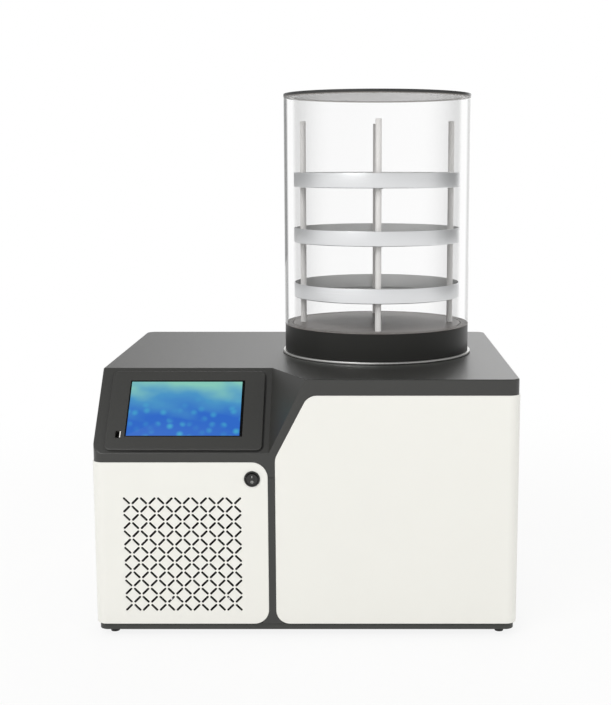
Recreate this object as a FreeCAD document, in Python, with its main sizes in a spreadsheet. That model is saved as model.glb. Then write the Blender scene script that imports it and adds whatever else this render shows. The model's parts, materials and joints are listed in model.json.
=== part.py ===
import FreeCAD, Part
import math
import os
import re
import Sketcher
from FreeCAD import Placement, Rotation, Vector

# A bench-top freeze dryer: a cabinet with a touch console at the left, a clear drying
# chamber with three trays at the right, and the refrigerated trap and its machinery inside.
# Frame: X to the right, Y into the depth, Z up from the bench, in millimetres.

doc = FreeCAD.newDocument("freeze_dryer")
sheet = doc.addObject("Spreadsheet::Sheet", "Sizes")
nodes = []

sizes = {
    # cabinet
    "body_width": 583,
    "body_depth": 484,
    "body_height": 361.5,
    "corner_radius": 16,
    "panel_wall": 1.5,
    "cover_drop": 22,
    "panel_edge": 0.7,
    "panel_gap": 0.5,
    "rear_return": 34,
    "pan_wall": 1.5,
    "pan_inset": 3.8,
    "pan_rim": 9.2,
    "pan_slot_width": 5,
    "pan_slot_length": 90,
    "pan_slot_pitch": 14,
    "pan_slot_count": 8,
    "foot_height": 9.6,
    "foot_radius": 8,
    "foot_tip_radius": 6,
    "foot_recess": 3,
    "foot_recess_radius": 2.5,
    "foot_side_inset": 22,
    "foot_front_inset": 26,
    "pillar_middle": -46.55,
    "pillar_strip": 10.1,
    "pillar_lap": 9,
    "pillar_depth": 14,
    "seam_drop": 21.4,
    "seam_gap": 0.5,
    "cover_wall": 2.5,
    "cover_edge": 2,
    "slope_rise": 102,
    "slope_run": 96.8,
    "crease_middle": -50,
    "facet_reach": 50.3,
    # white panels
    "left_panel_drop": 12,
    "left_top_radius": 22,
    "left_foot_radius": 20,
    "bend_drop": 6.5,
    "bend_radius": 22,
    "diagonal_reach": 45.1,
    "diagonal_top_radius": 20,
    "right_foot_radius": 19,
    "vent_count": 14,
    "vent_pitch": 11.66,
    "vent_middle": -168.5,
    "vent_height": 118.4,
    "vent_length": 12.4,
    "vent_width": 3,
    # console
    "bezel_inset": 18,
    "bezel_right": -59.2,
    "bezel_start": 4.3,
    "bezel_end": 133,
    "bezel_wall": 3.5,
    "bezel_radius": 8,
    "bezel_edge": 1.2,
    "glass_share": 0.4791,
    "glass_width": 160.2,
    "glass_start": 25.2,
    "glass_length": 91.4,
    "glass_wall": 1.6,
    "glass_play": 0.25,
    "display_border": 4,
    "display_depth": 9,
    "board_gap": 8,
    "board_wall": 1.6,
    "usb_share": 0.6429,
    "usb_start": 22.6,
    "usb_width": 8.2,
    "usb_length": 11.8,
    "usb_depth": 14,
    "usb_shell": 0.6,
    "usb_tongue": 2,
    # power switch
    "switch_middle": -72.8,
    "switch_drop": 22.7,
    "switch_radius": 10.9,
    "switch_flange": 1.6,
    "switch_barrel": 9.8,
    "switch_depth": 16,
    "switch_well": 8.8,
    "switch_well_depth": 9,
    "rocker_radius": 7.9,
    "rocker_half": 2.6,
    "rocker_crown": 1.2,
    "rocker_tilt": 7,
    "rocker_setback": 1.2,
    "axle_radius": 0.9,
    "axle_play": 0.1,
    # chamber
    "chamber_middle": 100.8,
    "chamber_setback": 264.6,
    "flange_radius": 144.7,
    "flange_wall": 4,
    "collar_radius": 140.7,
    "collar_height": 40.3,
    "collar_bore": 130,
    "collar_edge": 1.5,
    "seal_wall": 1,
    "cylinder_radius": 141,
    "cylinder_wall": 10,
    "cylinder_height": 339.5,
    "lid_radius": 141.3,
    "lid_wall": 4.5,
    "floor_play": 1.2,
    "floor_wall": 2,
    "rod_radius": 4.5,
    "rod_foot": 6.5,
    "rod_play": 0.1,
    "rod_circle": 112.5,
    "rod_length": 305,
    "rod_chamfer": 0.8,
    "tray_radius": 126.4,
    "tray_wall": 1,
    "tray_rim": 22,
    "tray_first": 40.7,
    "tray_pitch": 83,
    "tray_rod_play": 0.8,
    "clip_wall": 1.2,
    "clip_radius": 6.6,
    # cold trap
    "trap_radius": 106,
    "trap_wall": 1.5,
    "trap_depth": 240,
    "trap_play": 1,
    "coil_tube": 5,
    "header_tube": 3.5,
    "coil_gap": 0.4,
    "coil_pitch": 24,
    "coil_turns": 6,
    "coil_lift": 20,
    "foam_gap": 1,
    "foam_wall": 25,
    "foam_floor": 20,
    "deck_wall": 2,
    "deck_margin": 24,
    "partition_wall": 1.2,
    "partition_gap": 0.6,
    "post_side": 20,
    "post_wall": 1.5,
    "post_inset": 12,
    # refrigeration
    "compressor_middle": -170,
    "compressor_setback": 352,
    "compressor_radius": 74,
    "compressor_height": 176,
    "compressor_dome": 30,
    "compressor_base": 3,
    "compressor_foot_span": 150,
    "grommet_radius": 11,
    "grommet_height": 12,
    "condenser_width": 168,
    "condenser_height": 160,
    "condenser_depth": 34,
    "condenser_setback": 14,
    "condenser_lift": 28,
    "fin_count": 22,
    "fin_wall": 0.8,
    "end_plate": 1.6,
    "tube_rows": 6,
    "tube_radius": 4.5,
    "shroud_depth": 24,
    "shroud_wall": 2,
    "fan_radius": 68,
    "fan_play": 4,
    "fan_hub": 20,
    "fan_hub_depth": 16,
    "fan_blades": 5,
    "fan_blade_wall": 2,
    "fan_pitch": 32,
    "fan_chord": 21,
    "fan_root": 3,
    "fan_shaft": 3,
    "fan_shaft_play": 0.05,
    "fan_shaft_length": 16,
    "motor_radius": 26,
    "motor_depth": 34,
    "motor_gap": 3,
    "spoke_width": 8,
    "drier_radius": 14,
    "drier_length": 76,
    "pipe_radius": 4,
    "pipe_bore": 3,
    "pipe_bend": 20,
    # rear fittings
    "vacuum_drop": 62,
    "vacuum_radius": 14,
    "vacuum_bore": 12.5,
    "vacuum_reach": 30,
    "port_flange": 20,
    "port_flange_wall": 4,
    "port_base": 24,
    "port_socket": 13.1,
    "port_socket_depth": 6,
    "port_base_wall": 3,
    "gauge_radius": 9,
    "gauge_height": 20,
    "gauge_setback": 30,
    "air_offset": 52,
    "air_tube": 4,
    "air_bore": 2.5,
    "air_body_radius": 11,
    "air_body_reach": 16,
    "air_stem": 3,
    "air_stem_play": 0.05,
    "knob_radius": 13,
    "knob_depth": 13,
    "knob_bar": 7,
    "drain_radius": 7,
    "drain_bore": 5,
    "drain_drop": 62,
    "drain_bend": 24,
    "drain_body": 12,
    "drain_body_length": 26,
    "drain_spigot": 5,
    "drain_spigot_bore": 3.4,
    "rear_reach": 46,
    "lever_length": 42,
    "lever_width": 10,
    "lever_wall": 3,
    "stem_radius": 4,
    "stem_height": 6,
    "stem_play": 0.05,
    # electrics
    "inlet_inset": 82,
    "inlet_height": 70,
    "inlet_width": 34,
    "inlet_rise": 26,
    "inlet_proud": 2.5,
    "inlet_depth": 22,
    "inlet_well_width": 24.4,
    "inlet_well_rise": 16.4,
    "inlet_well_depth": 15.5,
    "pin_width": 2,
    "pin_rise": 4,
    "pin_spread": 7,
    "outlet_spacing": 46,
    "supply_width": 110,
    "supply_depth": 60,
    "supply_height": 42,
    "supply_inset": 140,
    "supply_drop": 98,
    "louvre_count": 9,
    "louvre_pitch": 11,
    "louvre_width": 120,
    "louvre_rise": 4,
    "louvre_inset": 120,
    "louvre_height": 130,
    "screw_radius": 2,
    "screw_head": 3.6,
    "screw_head_wall": 2,
    "screw_length": 8,
    "screw_count": 4,
    "screw_play": 0.2,
    "screw_drop": 10,
    # how far a cutting tool stands past what it cuts
    "cut_over": 2,
}

# Places worked out from the sizes above. The front and rear of the whole machine, with its
# fittings, lie as far from the origin as each other.
tilt = math.radians(sizes["rocker_tilt"])
front_reach = ((sizes["rocker_half"] + sizes["rocker_crown"]) * math.cos(tilt)
               + sizes["rocker_radius"] * math.sin(tilt) - sizes["rocker_setback"])
front_face = (front_reach - sizes["body_depth"] - sizes["rear_reach"]) / 2
chamber_depth = front_face + sizes["chamber_setback"]
slope_foot = sizes["body_height"] - sizes["slope_rise"]
left_panel_top = slope_foot - sizes["left_panel_drop"]
pan_floor = sizes["foot_height"] + sizes["pan_wall"]
flange_top = sizes["body_height"] + sizes["flange_wall"]
trap_foot = flange_top - sizes["trap_depth"]
collar_top = flange_top + sizes["collar_height"]
cylinder_foot = collar_top + sizes["seal_wall"]
cylinder_head = cylinder_foot + sizes["cylinder_height"]
deck_under = sizes["body_height"] - sizes["cover_wall"] - sizes["deck_wall"]
coil_radius = sizes["trap_radius"] + sizes["trap_wall"] + sizes["coil_tube"] + sizes["coil_gap"]
foam_bore = coil_radius + sizes["coil_tube"] + sizes["foam_gap"]
fan_setback = sizes["condenser_setback"] + sizes["condenser_depth"] + sizes["shroud_depth"] / 2
pillar_left = sizes["pillar_middle"] - sizes["pillar_strip"] / 2
# the glass and the socket share out what the bezel's width leaves beside the glass
bezel_left = sizes["bezel_inset"] - sizes["body_width"] / 2
glass_left = bezel_left + sizes["glass_share"] * (sizes["bezel_right"] - bezel_left - sizes["glass_width"])

places = {
    "side_left": -sizes["body_width"] / 2,
    "side_right": sizes["body_width"] / 2,
    "front_face": front_face,
    "rear_face": front_face + sizes["body_depth"],
    "chamber_depth": chamber_depth,
    "pan_floor": pan_floor,
    "panel_foot": sizes["foot_height"] + sizes["pan_rim"],
    "slope_foot": slope_foot,
    "panel_top": sizes["body_height"] - sizes["cover_drop"],
    "left_panel_top": left_panel_top,
    "bend_height": slope_foot - sizes["bend_drop"],
    "seam_height": left_panel_top - sizes["seam_drop"],
    "switch_height": left_panel_top - sizes["switch_drop"],
    "supply_level": sizes["body_height"] - sizes["supply_drop"],
    "supply_middle": sizes["supply_inset"] - sizes["body_width"] / 2,
    "inlet_middle": sizes["inlet_inset"] - sizes["body_width"] / 2,
    "louvre_middle": sizes["louvre_inset"] - sizes["body_width"] / 2,
    "bezel_left": bezel_left,
    "glass_middle": glass_left + sizes["glass_width"] / 2,
    "usb_middle": bezel_left + sizes["usb_share"] * (glass_left - bezel_left),
    "pillar_left": pillar_left,
    "pillar_right": pillar_left + sizes["pillar_strip"],
    "cover_front": front_face + sizes["panel_wall"],
    "flange_top": flange_top,
    "collar_top": collar_top,
    "floor_top": cylinder_foot,
    "cylinder_foot": cylinder_foot,
    "cylinder_head": cylinder_head,
    "lid_foot": cylinder_head + sizes["seal_wall"],
    "trap_foot": trap_foot,
    "drain_height": trap_foot - sizes["drain_drop"],
    "deck_under": deck_under,
    "foam_bore": foam_bore,
    "foam_radius": foam_bore + sizes["foam_wall"],
    "coil_radius": coil_radius,
    "vacuum_level": sizes["body_height"] - sizes["vacuum_drop"],
    "fan_setback": fan_setback,
    "grommet_top": pan_floor + sizes["grommet_height"],
}
sizes.update(places)

for row, (name, amount) in enumerate(sizes.items(), start=1):
    sheet.set(f"A{row}", name)
    sheet.set(f"B{row}", str(round(amount, 6)))
    sheet.setAlias(f"B{row}", name)
doc.recompute()


def size(name):
    return float(sheet.get(name))


def linked(formula):
    # plain names in a formula become references to the sheet
    return re.sub(r"[a-z]+(?:_[a-z]+)+", lambda word: "Sizes." + word.group(), str(formula))


def bind(item, formulas):
    for path, formula in formulas.items():
        item.setExpression(path, linked(formula))
    return item


def put(item, x=0, y=0, z=0):
    return bind(item, {"Placement.Base.x": x, "Placement.Base.y": y, "Placement.Base.z": z})


def node(item, name):
    item.Label = name
    nodes.append(item)
    return item


# ---- plain solids and booleans ----

def block(name, x, y, z):
    # x, y and z are each the low side and the length
    item = doc.addObject("Part::Box", name)
    bind(item, {"Length": x[1], "Width": y[1], "Height": z[1]})
    return put(item, x[0], y[0], z[0])


def drum(name, radius, length, x, y, z, along="Z"):
    item = doc.addObject("Part::Cylinder", name)
    bind(item, {"Radius": radius, "Height": length})
    turns = {"X": Rotation(Vector(0, 1, 0), 90), "Y": Rotation(Vector(1, 0, 0), -90), "Z": Rotation()}
    item.Placement = Placement(Vector(), turns[along])
    return put(item, x, y, z)


def joined(name, parts):
    item = doc.addObject("Part::MultiFuse", name)
    item.Shapes = parts
    item.Refine = False
    return item


def group(name, parts):
    item = doc.addObject("Part::Compound", name)
    item.Links = parts
    return item


def cut(name, base, tools):
    item = doc.addObject("Part::Cut", name)
    item.Base = base
    item.Tool = tools[0] if len(tools) == 1 else group(name + "_tools", tools)
    return item


def shaped(name, shape):
    item = doc.addObject("Part::Feature", name)
    item.Shape = shape
    return item


# ---- sketched bodies ----

def new_body(name):
    return doc.addObject("PartDesign::Body", name)


def sketch_on(body, plane, level):
    sketch = body.newObject("Sketcher::SketchObject", f"{body.Name}_sketch")
    role = plane + "_Plane"
    support = next(item for item in body.Origin.OriginFeatures if item.Role == role)
    sketch.AttachmentSupport = [(support, "")]
    sketch.MapMode = "FlatFace"
    sign = "-" if plane == "XZ" else ""
    return bind(sketch, {"AttachmentOffset.Base.z": f"{sign}({level})"})


def outline(sketch, points):
    # a closed outline of straight lines, with each corner held to two formulas
    first = sketch.GeometryCount
    count = len(points)
    guess = [Vector(50 * math.cos(2 * math.pi * i / count), 50 * math.sin(2 * math.pi * i / count), 0)
             for i in range(count)]
    for i in range(count):
        sketch.addGeometry(Part.LineSegment(guess[i], guess[(i + 1) % count]), False)
    for i in range(count):
        line, following = first + i, first + (i + 1) % count
        sketch.addConstraint(Sketcher.Constraint("Coincident", line, 2, following, 1))
    for i, (across, up) in enumerate(points):
        for kind, formula, start in (("DistanceX", across, guess[i].x), ("DistanceY", up, guess[i].y)):
            held = sketch.addConstraint(Sketcher.Constraint(kind, -1, 1, first + i, 1, start))
            bind(sketch, {f"Constraints[{held}]": formula})


def ring(sketch, across, up, radius):
    index = sketch.addGeometry(Part.Circle(Vector(10, 10, 0), Vector(0, 0, 1), 5), False)
    for kind, formula in (("DistanceX", across), ("DistanceY", up)):
        held = sketch.addConstraint(Sketcher.Constraint(kind, -1, 1, index, 3, 10))
        bind(sketch, {f"Constraints[{held}]": formula})
    held = sketch.addConstraint(Sketcher.Constraint("Radius", index, 5))
    bind(sketch, {f"Constraints[{held}]": radius})


def drawn(sketch, shapes):
    # a shape of three formulas is a circle, and a longer list is an outline
    for shape in shapes:
        if isinstance(shape, tuple):
            ring(sketch, *shape)
        else:
            outline(sketch, shape)


def grow(body, plane, low, high, *shapes):
    # a pad from low to high along the axis that the plane leaves out
    sketch = sketch_on(body, plane, high if plane == "XZ" else low)
    drawn(sketch, shapes)
    pad = body.newObject("PartDesign::Pad", f"{body.Name}_pad")
    pad.Profile = sketch
    bind(pad, {"Length": f"({high}) - ({low})"})
    doc.recompute()
    return pad


def carve(body, plane, low, high, *shapes):
    # a pocket over the same stretch, which has to take something away
    before = body.Tip.Shape.Volume
    sketch = sketch_on(body, plane, low if plane == "XZ" else high)
    drawn(sketch, shapes)
    pocket = body.newObject("PartDesign::Pocket", f"{body.Name}_pocket")
    pocket.Profile = sketch
    bind(pocket, {"Length": f"({high}) - ({low})"})
    doc.recompute()
    if pocket.Shape.Volume >= before:
        raise ValueError(f"a pocket in {body.Name} removes nothing")
    return pocket


def turned(name, profile, x=0, y=0, z=0):
    # a profile of radius and height turned about the vertical axis
    body = new_body(name)
    sketch = sketch_on(body, "XZ", 0)
    outline(sketch, profile)
    turn = body.newObject("PartDesign::Revolution", f"{name}_turn")
    turn.Profile = sketch
    turn.ReferenceAxis = (sketch, ["V_Axis"])
    turn.Angle = 360
    put(body, x, y, z)
    doc.recompute()
    return body


def rounded(body, radius, test):
    # fillets every edge that passes the test
    base = body.Tip
    names = [f"Edge{i}" for i, edge in enumerate(base.Shape.Edges, start=1) if test(edge)]
    if not names:
        raise ValueError(f"no edge to round on {body.Name}")
    feature = body.newObject("PartDesign::Fillet", f"{body.Name}_fillet")
    feature.Base = (base, names)
    bind(feature, {"Radius": radius})
    doc.recompute()
    return feature


def hollowed(body, wall, is_open):
    # a shell of even wall inside the solid, open at the faces that pass the test
    base = body.Tip
    faces = [f"Face{i}" for i, face in enumerate(base.Shape.Faces, start=1) if is_open(face)]
    shell = body.newObject("PartDesign::Thickness", f"{body.Name}_shell")
    shell.Base = (base, faces)
    shell.Reversed = True
    shell.Mode = 0
    shell.Join = 1
    bind(shell, {"Value": wall})
    doc.recompute()
    if shell.Shape.Volume >= base.Shape.Volume:
        raise ValueError(f"{body.Name} is not hollow")
    return shell


def level_at(axis, *places):
    # a test for flat faces square to an axis, at any of the places
    def test(face):
        box = face.BoundBox
        low, high = getattr(box, axis + "Min"), getattr(box, axis + "Max")
        return high - low < 0.01 and any(abs(low - place) < 0.01 for place in places)
    return test


def repeated(body, feature, axis, count, angle=360):
    pattern = body.newObject("PartDesign::PolarPattern", f"{body.Name}_pattern")
    pattern.Originals = [feature]
    role = next(item for item in body.Origin.OriginFeatures if item.Role == axis + "_Axis")
    pattern.Axis = (role, [""])
    pattern.Angle = angle
    bind(pattern, {"Occurrences": count})
    body.Tip = pattern
    doc.recompute()
    return pattern


def in_row(body, feature, axis, count, pitch):
    pattern = body.newObject("PartDesign::LinearPattern", f"{body.Name}_row")
    pattern.Originals = [feature]
    role = next(item for item in body.Origin.OriginFeatures if item.Role == axis + "_Axis")
    pattern.Direction = (role, [""])
    bind(pattern, {"Occurrences": count, "Length": f"({count} - 1) * {pitch}"})
    body.Tip = pattern
    doc.recompute()
    return pattern


def rectangle(x, y):
    # x and y are each a low and a high side
    return [(x[0], y[0]), (x[1], y[0]), (x[1], y[1]), (x[0], y[1])]


def runs(axis, x=None, y=None, z=None, near=0.01):
    # a test for straight edges along an axis, at the places given
    def test(edge):
        if edge.Curve.TypeId != "Part::GeomLine":
            return False
        start, end = (vertex.Point for vertex in edge.Vertexes[:2])
        step = end - start
        if abs(getattr(step, axis.lower())) < step.Length - near:
            return False
        middle = (start + end) / 2
        wanted = {"x": x, "y": y, "z": z}
        return all(place is None or abs(getattr(middle, name) - place) < near
                   for name, place in wanted.items())
    return test


def circles(radius, level=None, axis="z", near=0.01):
    # a test for round edges of a radius about the turning axis
    def test(edge):
        if edge.Curve.TypeId != "Part::GeomCircle":
            return False
        centre = edge.Curve.Center
        return abs(edge.Curve.Radius - radius) < near and (
            level is None or abs(getattr(centre, axis) - level) < near)
    return test


def tube_along(points, bend, outer, inner=0):
    # straight runs joined by tangent arcs of one radius, with a round section
    edges = []
    start = points[0]
    for i in range(1, len(points) - 1):
        back = (points[i - 1] - points[i]).normalize()
        ahead = (points[i + 1] - points[i]).normalize()
        turn = math.pi - back.getAngle(ahead)
        reach = bend * math.tan(turn / 2)
        enter, leave = points[i] + back * reach, points[i] + ahead * reach
        inward = (back + ahead).normalize()
        middle = points[i] + inward * (bend / math.cos(turn / 2) - bend)
        edges.append(Part.LineSegment(start, enter).toShape())
        edges.append(Part.Arc(enter, middle, leave).toShape())
        start = leave
    edges.append(Part.LineSegment(start, points[-1]).toShape())
    path = Part.Wire(edges)
    along = (points[1] - points[0]).normalize()

    def swept(radius):
        section = Part.Wire([Part.Circle(points[0], along, radius).toShape()])
        return path.makePipeShell([section], True, False)

    return swept(outer).cut(swept(inner)) if inner else swept(outer)


# ---- base ----

def make_base_pan():
    pan = new_body("base_pan_body")
    grow(pan, "XY", "foot_height", "panel_foot", rectangle(
        ("side_left + pan_inset", "side_right - pan_inset"),
        ("front_face + pan_inset", "rear_face - pan_inset")))
    rounded(pan, "corner_radius - pan_inset", runs("Z"))
    hollowed(pan, "pan_wall", level_at("Z", size("panel_foot")))
    first = "vent_middle - (pan_slot_count - 1) * pan_slot_pitch / 2"
    slot = carve(pan, "XY", "foot_height - cut_over", "pan_floor + cut_over", rectangle(
        (f"{first} - pan_slot_width / 2", f"{first} + pan_slot_width / 2"),
        ("front_face + condenser_setback + condenser_depth",
         "front_face + condenser_setback + condenser_depth + pan_slot_length")))
    in_row(pan, slot, "X", "pan_slot_count", "pan_slot_pitch")
    node(pan, "base_pan")


def make_feet():
    profile = [(0, "foot_recess"), ("foot_recess_radius", "foot_recess"), ("foot_recess_radius", 0),
               ("foot_tip_radius", 0), ("foot_radius", "foot_height"), (0, "foot_height")]
    for depth, y in (("front", "front_face + foot_front_inset"), ("rear", "rear_face - foot_front_inset")):
        for side, x in (("left", "side_left + foot_side_inset"), ("right", "side_right - foot_side_inset")):
            foot = turned(f"foot_{depth}_{side}_body", profile, x, y)
            node(foot, f"foot_{depth}_{side}")


def make_pillar():
    pillar = new_body("front_pillar_body")
    left, right = "pillar_left - pillar_lap", "pillar_right + pillar_lap"
    grow(pillar, "XY", "panel_foot", "seam_height - seam_gap", [
        (left, "cover_front"), (right, "cover_front"),
        (right, "cover_front + pillar_depth"), (f"{right} - panel_wall", "cover_front + pillar_depth"),
        (f"{right} - panel_wall", "cover_front + cover_wall"),
        (f"{left} + panel_wall", "cover_front + cover_wall"),
        (f"{left} + panel_wall", "cover_front + pillar_depth"), (left, "cover_front + pillar_depth")])
    node(pillar, "front_pillar")


# ---- white sheet panels, wrapped from the front round a side and a rear corner ----

def side_panel(name, sign, inner_edge, outer_side):
    body = new_body(name)
    low, high = ("side_left", inner_edge) if sign < 0 else (inner_edge, "side_right")
    grow(body, "XY", "panel_foot", "panel_top", rectangle((low, high), ("front_face", "rear_face")))
    rounded(body, "corner_radius", runs("Z", x=size(outer_side)))
    ends, inner = level_at("Z", size("panel_foot"), size("panel_top")), level_at("X", size(inner_edge))
    hollowed(body, "panel_wall", lambda face: ends(face) or inner(face))
    back = ("side_left + rear_return", f"{inner_edge} + cut_over")
    if sign > 0:
        back = (f"{inner_edge} - cut_over", "side_right - rear_return")
    carve(body, "XZ", "rear_face - 2 * panel_wall", "rear_face + cut_over", rectangle(
        back, ("panel_foot - cut_over", "panel_top + cut_over")))
    return body


def corner(x, z):
    return runs("Y", x=size(x), z=size(z))


def front_rim(edge):
    # the outline of a panel where it meets the front plane, its bent corner left out
    places = [vertex.Point.y for vertex in edge.Vertexes]
    return max(abs(y - size("front_face")) for y in places) < 0.01 and not runs("Z")(edge)


def vent_slots():
    # short slots at 45 degrees, leaning one way and the other in turn
    count, pitch = int(size("vent_count")), size("vent_pitch")
    half, across = size("vent_length") / 2, size("vent_width") / 2
    tip = across * 0.45
    section = [(-half, -tip), (-half + across - tip, -across), (half - across + tip, -across), (half, -tip),
               (half, tip), (half - across + tip, across), (-half + across - tip, across), (-half, tip)]
    reach = size("panel_wall") + 2 * size("cut_over")
    slots = []
    for row in range(count):
        for column in range(count):
            lean = math.radians(-45 if (row + column) % 2 == 0 else 45)
            x = size("vent_middle") + (column - (count - 1) / 2) * pitch
            z = size("vent_height") - (row - (count - 1) / 2) * pitch
            y = size("front_face") - size("cut_over")
            points = [Vector(x + u * math.cos(lean) - v * math.sin(lean), y,
                             z + u * math.sin(lean) + v * math.cos(lean)) for u, v in section]
            face = Part.Face(Part.makePolygon(points + points[:1]))
            slots.append(face.extrude(Vector(0, reach, 0)))
    return Part.makeCompound(slots)


def make_left_panel():
    body = side_panel("left_panel_body", -1, "pillar_left", "side_left")
    # the side's top edge runs level round the bent corner and then climbs beside the slope
    inside = "front_face + corner_radius + 2 * panel_wall"
    top = "panel_top + cut_over"
    carve(body, "YZ", "side_left - cut_over", "pillar_left + cut_over", [
        ("front_face - cut_over", "left_panel_top"), (inside, "left_panel_top"),
        (f"{inside} + ({top} - left_panel_top) * slope_run / slope_rise", top),
        ("front_face - cut_over", top)])
    rounded(body, "left_top_radius", corner("pillar_left", "left_panel_top"))
    rounded(body, "left_foot_radius", corner("pillar_left", "panel_foot"))
    rounded(body, "panel_edge", front_rim)
    slots = shaped("vent_slots", vent_slots())
    hole = drum("switch_hole", "switch_barrel", "panel_wall + 2 * cut_over",
                "switch_middle", "front_face - cut_over", "switch_height", "Y")
    node(cut("left_panel_cut", body, [slots, hole]), "left_panel")


def make_right_panel():
    body = side_panel("right_panel_body", 1, "pillar_right", "side_right")
    top = "panel_top + cut_over"
    carve(body, "XZ", "front_face - cut_over", "front_face + 2 * panel_wall", [
        ("pillar_right - cut_over", "bend_height"), ("pillar_right", "bend_height"),
        ("pillar_right + diagonal_reach", "panel_top"), ("pillar_right + diagonal_reach", top),
        ("pillar_right - cut_over", top)])
    rounded(body, "bend_radius", corner("pillar_right", "bend_height"))
    rounded(body, "right_foot_radius", corner("pillar_right", "panel_foot"))
    reach = size("pillar_right") + size("diagonal_reach")
    rounded(body, "diagonal_top_radius", runs("Y", x=reach, z=size("panel_top")))
    rounded(body, "panel_edge", front_rim)
    node(body, "right_panel")


def make_rear_panel():
    body = new_body("rear_panel_body")
    edge = "(rear_return + panel_gap)"
    grow(body, "XZ", "rear_face - panel_wall", "rear_face", rectangle(
        (f"side_left + {edge}", f"side_right - {edge}"), ("panel_foot", "panel_top")))
    through = ("rear_face - 2 * panel_wall", "rear_face + cut_over")
    first = "louvre_height - (louvre_count - 1) * louvre_pitch / 2"
    slot = carve(body, "XZ", *through, rectangle(
        ("louvre_middle - louvre_width / 2", "louvre_middle + louvre_width / 2"),
        (first, f"{first} + louvre_rise")))
    in_row(body, slot, "Z", "louvre_count", "louvre_pitch")
    carve(body, "XZ", *through,
          ("chamber_middle", "vacuum_level", "vacuum_radius + panel_gap"),
          ("chamber_middle + air_offset", "vacuum_level", "air_tube + panel_gap"),
          ("chamber_middle", "drain_height", "drain_radius + panel_gap"))
    carve(body, "XZ", *through, *[rectangle(
        (f"{middle} - inlet_width / 2", f"{middle} + inlet_width / 2"),
        ("inlet_height - inlet_rise / 2", "inlet_height + inlet_rise / 2"))
        for middle in ("inlet_middle - outlet_spacing / 2", "inlet_middle + outlet_spacing / 2")])
    carve(body, "XZ", *through, *[(x, "panel_top - screw_drop", "screw_radius + screw_play")
                                  for x in screw_places()])
    node(body, "rear_panel")


def screw_places():
    # an even row of screws between the panel's two ends
    count = int(size("screw_count"))
    span = "(body_width - 2 * rear_return - 2 * panel_gap - 4 * screw_drop)"
    return [f"({i} / (screw_count - 1) - 1 / 2) * {span}" for i in range(count)]


def make_screws():
    screws = []
    for i, x in enumerate(screw_places()):
        shank = drum(f"screw_shank_{i}", "screw_radius", "screw_length",
                     x, "rear_face - screw_length", "panel_top - screw_drop", "Y")
        head = drum(f"screw_head_{i}", "screw_head", "screw_head_wall",
                    x, "rear_face", "panel_top - screw_drop", "Y")
        screws.append(joined(f"screw_{i}", [shank, head]))
    node(group("panel_screw_group", screws), "panel_screws")


# ---- dark moulded cover with the console slope and the facet beside it ----

def facet_wedge():
    # the corner cut off beside the console, from the slope's foot to a point on the front edge
    x, y, top = size("crease_middle"), size("cover_front"), size("body_height")
    foot = Vector(x, y, size("slope_foot"))
    head = Vector(x, y + size("slope_run"), top)
    tip = Vector(x + size("facet_reach"), y, top)
    outside = Vector(x, y - size("slope_run"), top + size("slope_rise"))
    faces = [Part.Face(Part.makePolygon([a, b, c, a]))
             for a, b, c in ((foot, head, tip), (foot, head, outside),
                             (head, tip, outside), (foot, tip, outside))]
    return Part.makeSolid(Part.makeShell(faces))


def make_top_cover():
    left, right = "side_left + panel_wall", "side_right - panel_wall"
    back = "rear_face - panel_wall"
    blank = new_body("cover_blank")
    grow(blank, "XY", "seam_height", "body_height", rectangle((left, right), ("cover_front", back)))
    rounded(blank, "corner_radius - panel_wall", runs("Z"))
    carve(blank, "YZ", f"{left} - cut_over", "crease_middle", [
        ("cover_front", "slope_foot"), ("cover_front + slope_run", "body_height"),
        ("cover_front + slope_run", "body_height + cut_over"),
        ("cover_front - cut_over", "body_height + cut_over"), ("cover_front - cut_over", "slope_foot")])
    faceted = cut("cover_faceted", blank, [shaped("facet_wedge", facet_wedge())])
    doc.recompute()
    body = new_body("top_cover_body")
    body.BaseFeature = faceted
    doc.recompute()
    hollowed(body, "cover_wall", level_at("Z", size("seam_height")))
    top = size("body_height")

    def top_rim(edge):
        # the outer edges of the top, of the slope's sides and of the facet
        points = [vertex.Point for vertex in edge.Vertexes]
        level = all(abs(point.z - top) < 0.01 for point in points)
        slanted = all(point.z > size("slope_foot") - 0.01 for point in points) and (
            max(point.z for point in points) > top - 0.01 and not level)
        outside = all(abs(point.x - size("side_left") - size("panel_wall")) < 0.01 for point in points)
        places = sorted(point.x for point in points)
        reach = places[-1] - places[0]
        facet = abs(places[0] - size("crease_middle")) < 0.01 and reach < size("body_width") / 4
        return not facet and (level or (slanted and outside))

    rounded(body, "cover_edge", top_rim)
    carve(body, "XY", "body_height - 2 * cover_wall", "body_height + cut_over",
          ("chamber_middle", "chamber_depth", "trap_radius + trap_wall + trap_play"))
    carve(body, "XZ", "front_face", "cover_front + 2 * cover_wall",
          ("switch_middle", "switch_height", "switch_barrel + panel_gap"))
    carve(body, "XZ", f"{back} - 2 * cover_wall", "rear_face + cut_over",
          *[(x, "panel_top - screw_drop", "screw_radius") for x in screw_places()],
          ("chamber_middle", "vacuum_level", "vacuum_radius + panel_gap"),
          ("chamber_middle + air_offset", "vacuum_level", "air_tube + panel_gap"))
    node(cut("top_cover_cut", body, [
        console_block("display_window", "glass_middle - glass_width / 2 + display_border",
                      "glass_start + display_border", "-(3 * cover_wall)",
                      "glass_width - 2 * display_border", "glass_length - 2 * display_border",
                      "4 * cover_wall"),
        console_block("usb_window", "usb_middle - usb_width / 2", "usb_start", "-(3 * cover_wall)",
                      "usb_width", "usb_length", "4 * cover_wall")]), "top_cover")


# ---- console, laid out up the slope: x across, y up the slope, z out of it ----

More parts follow.
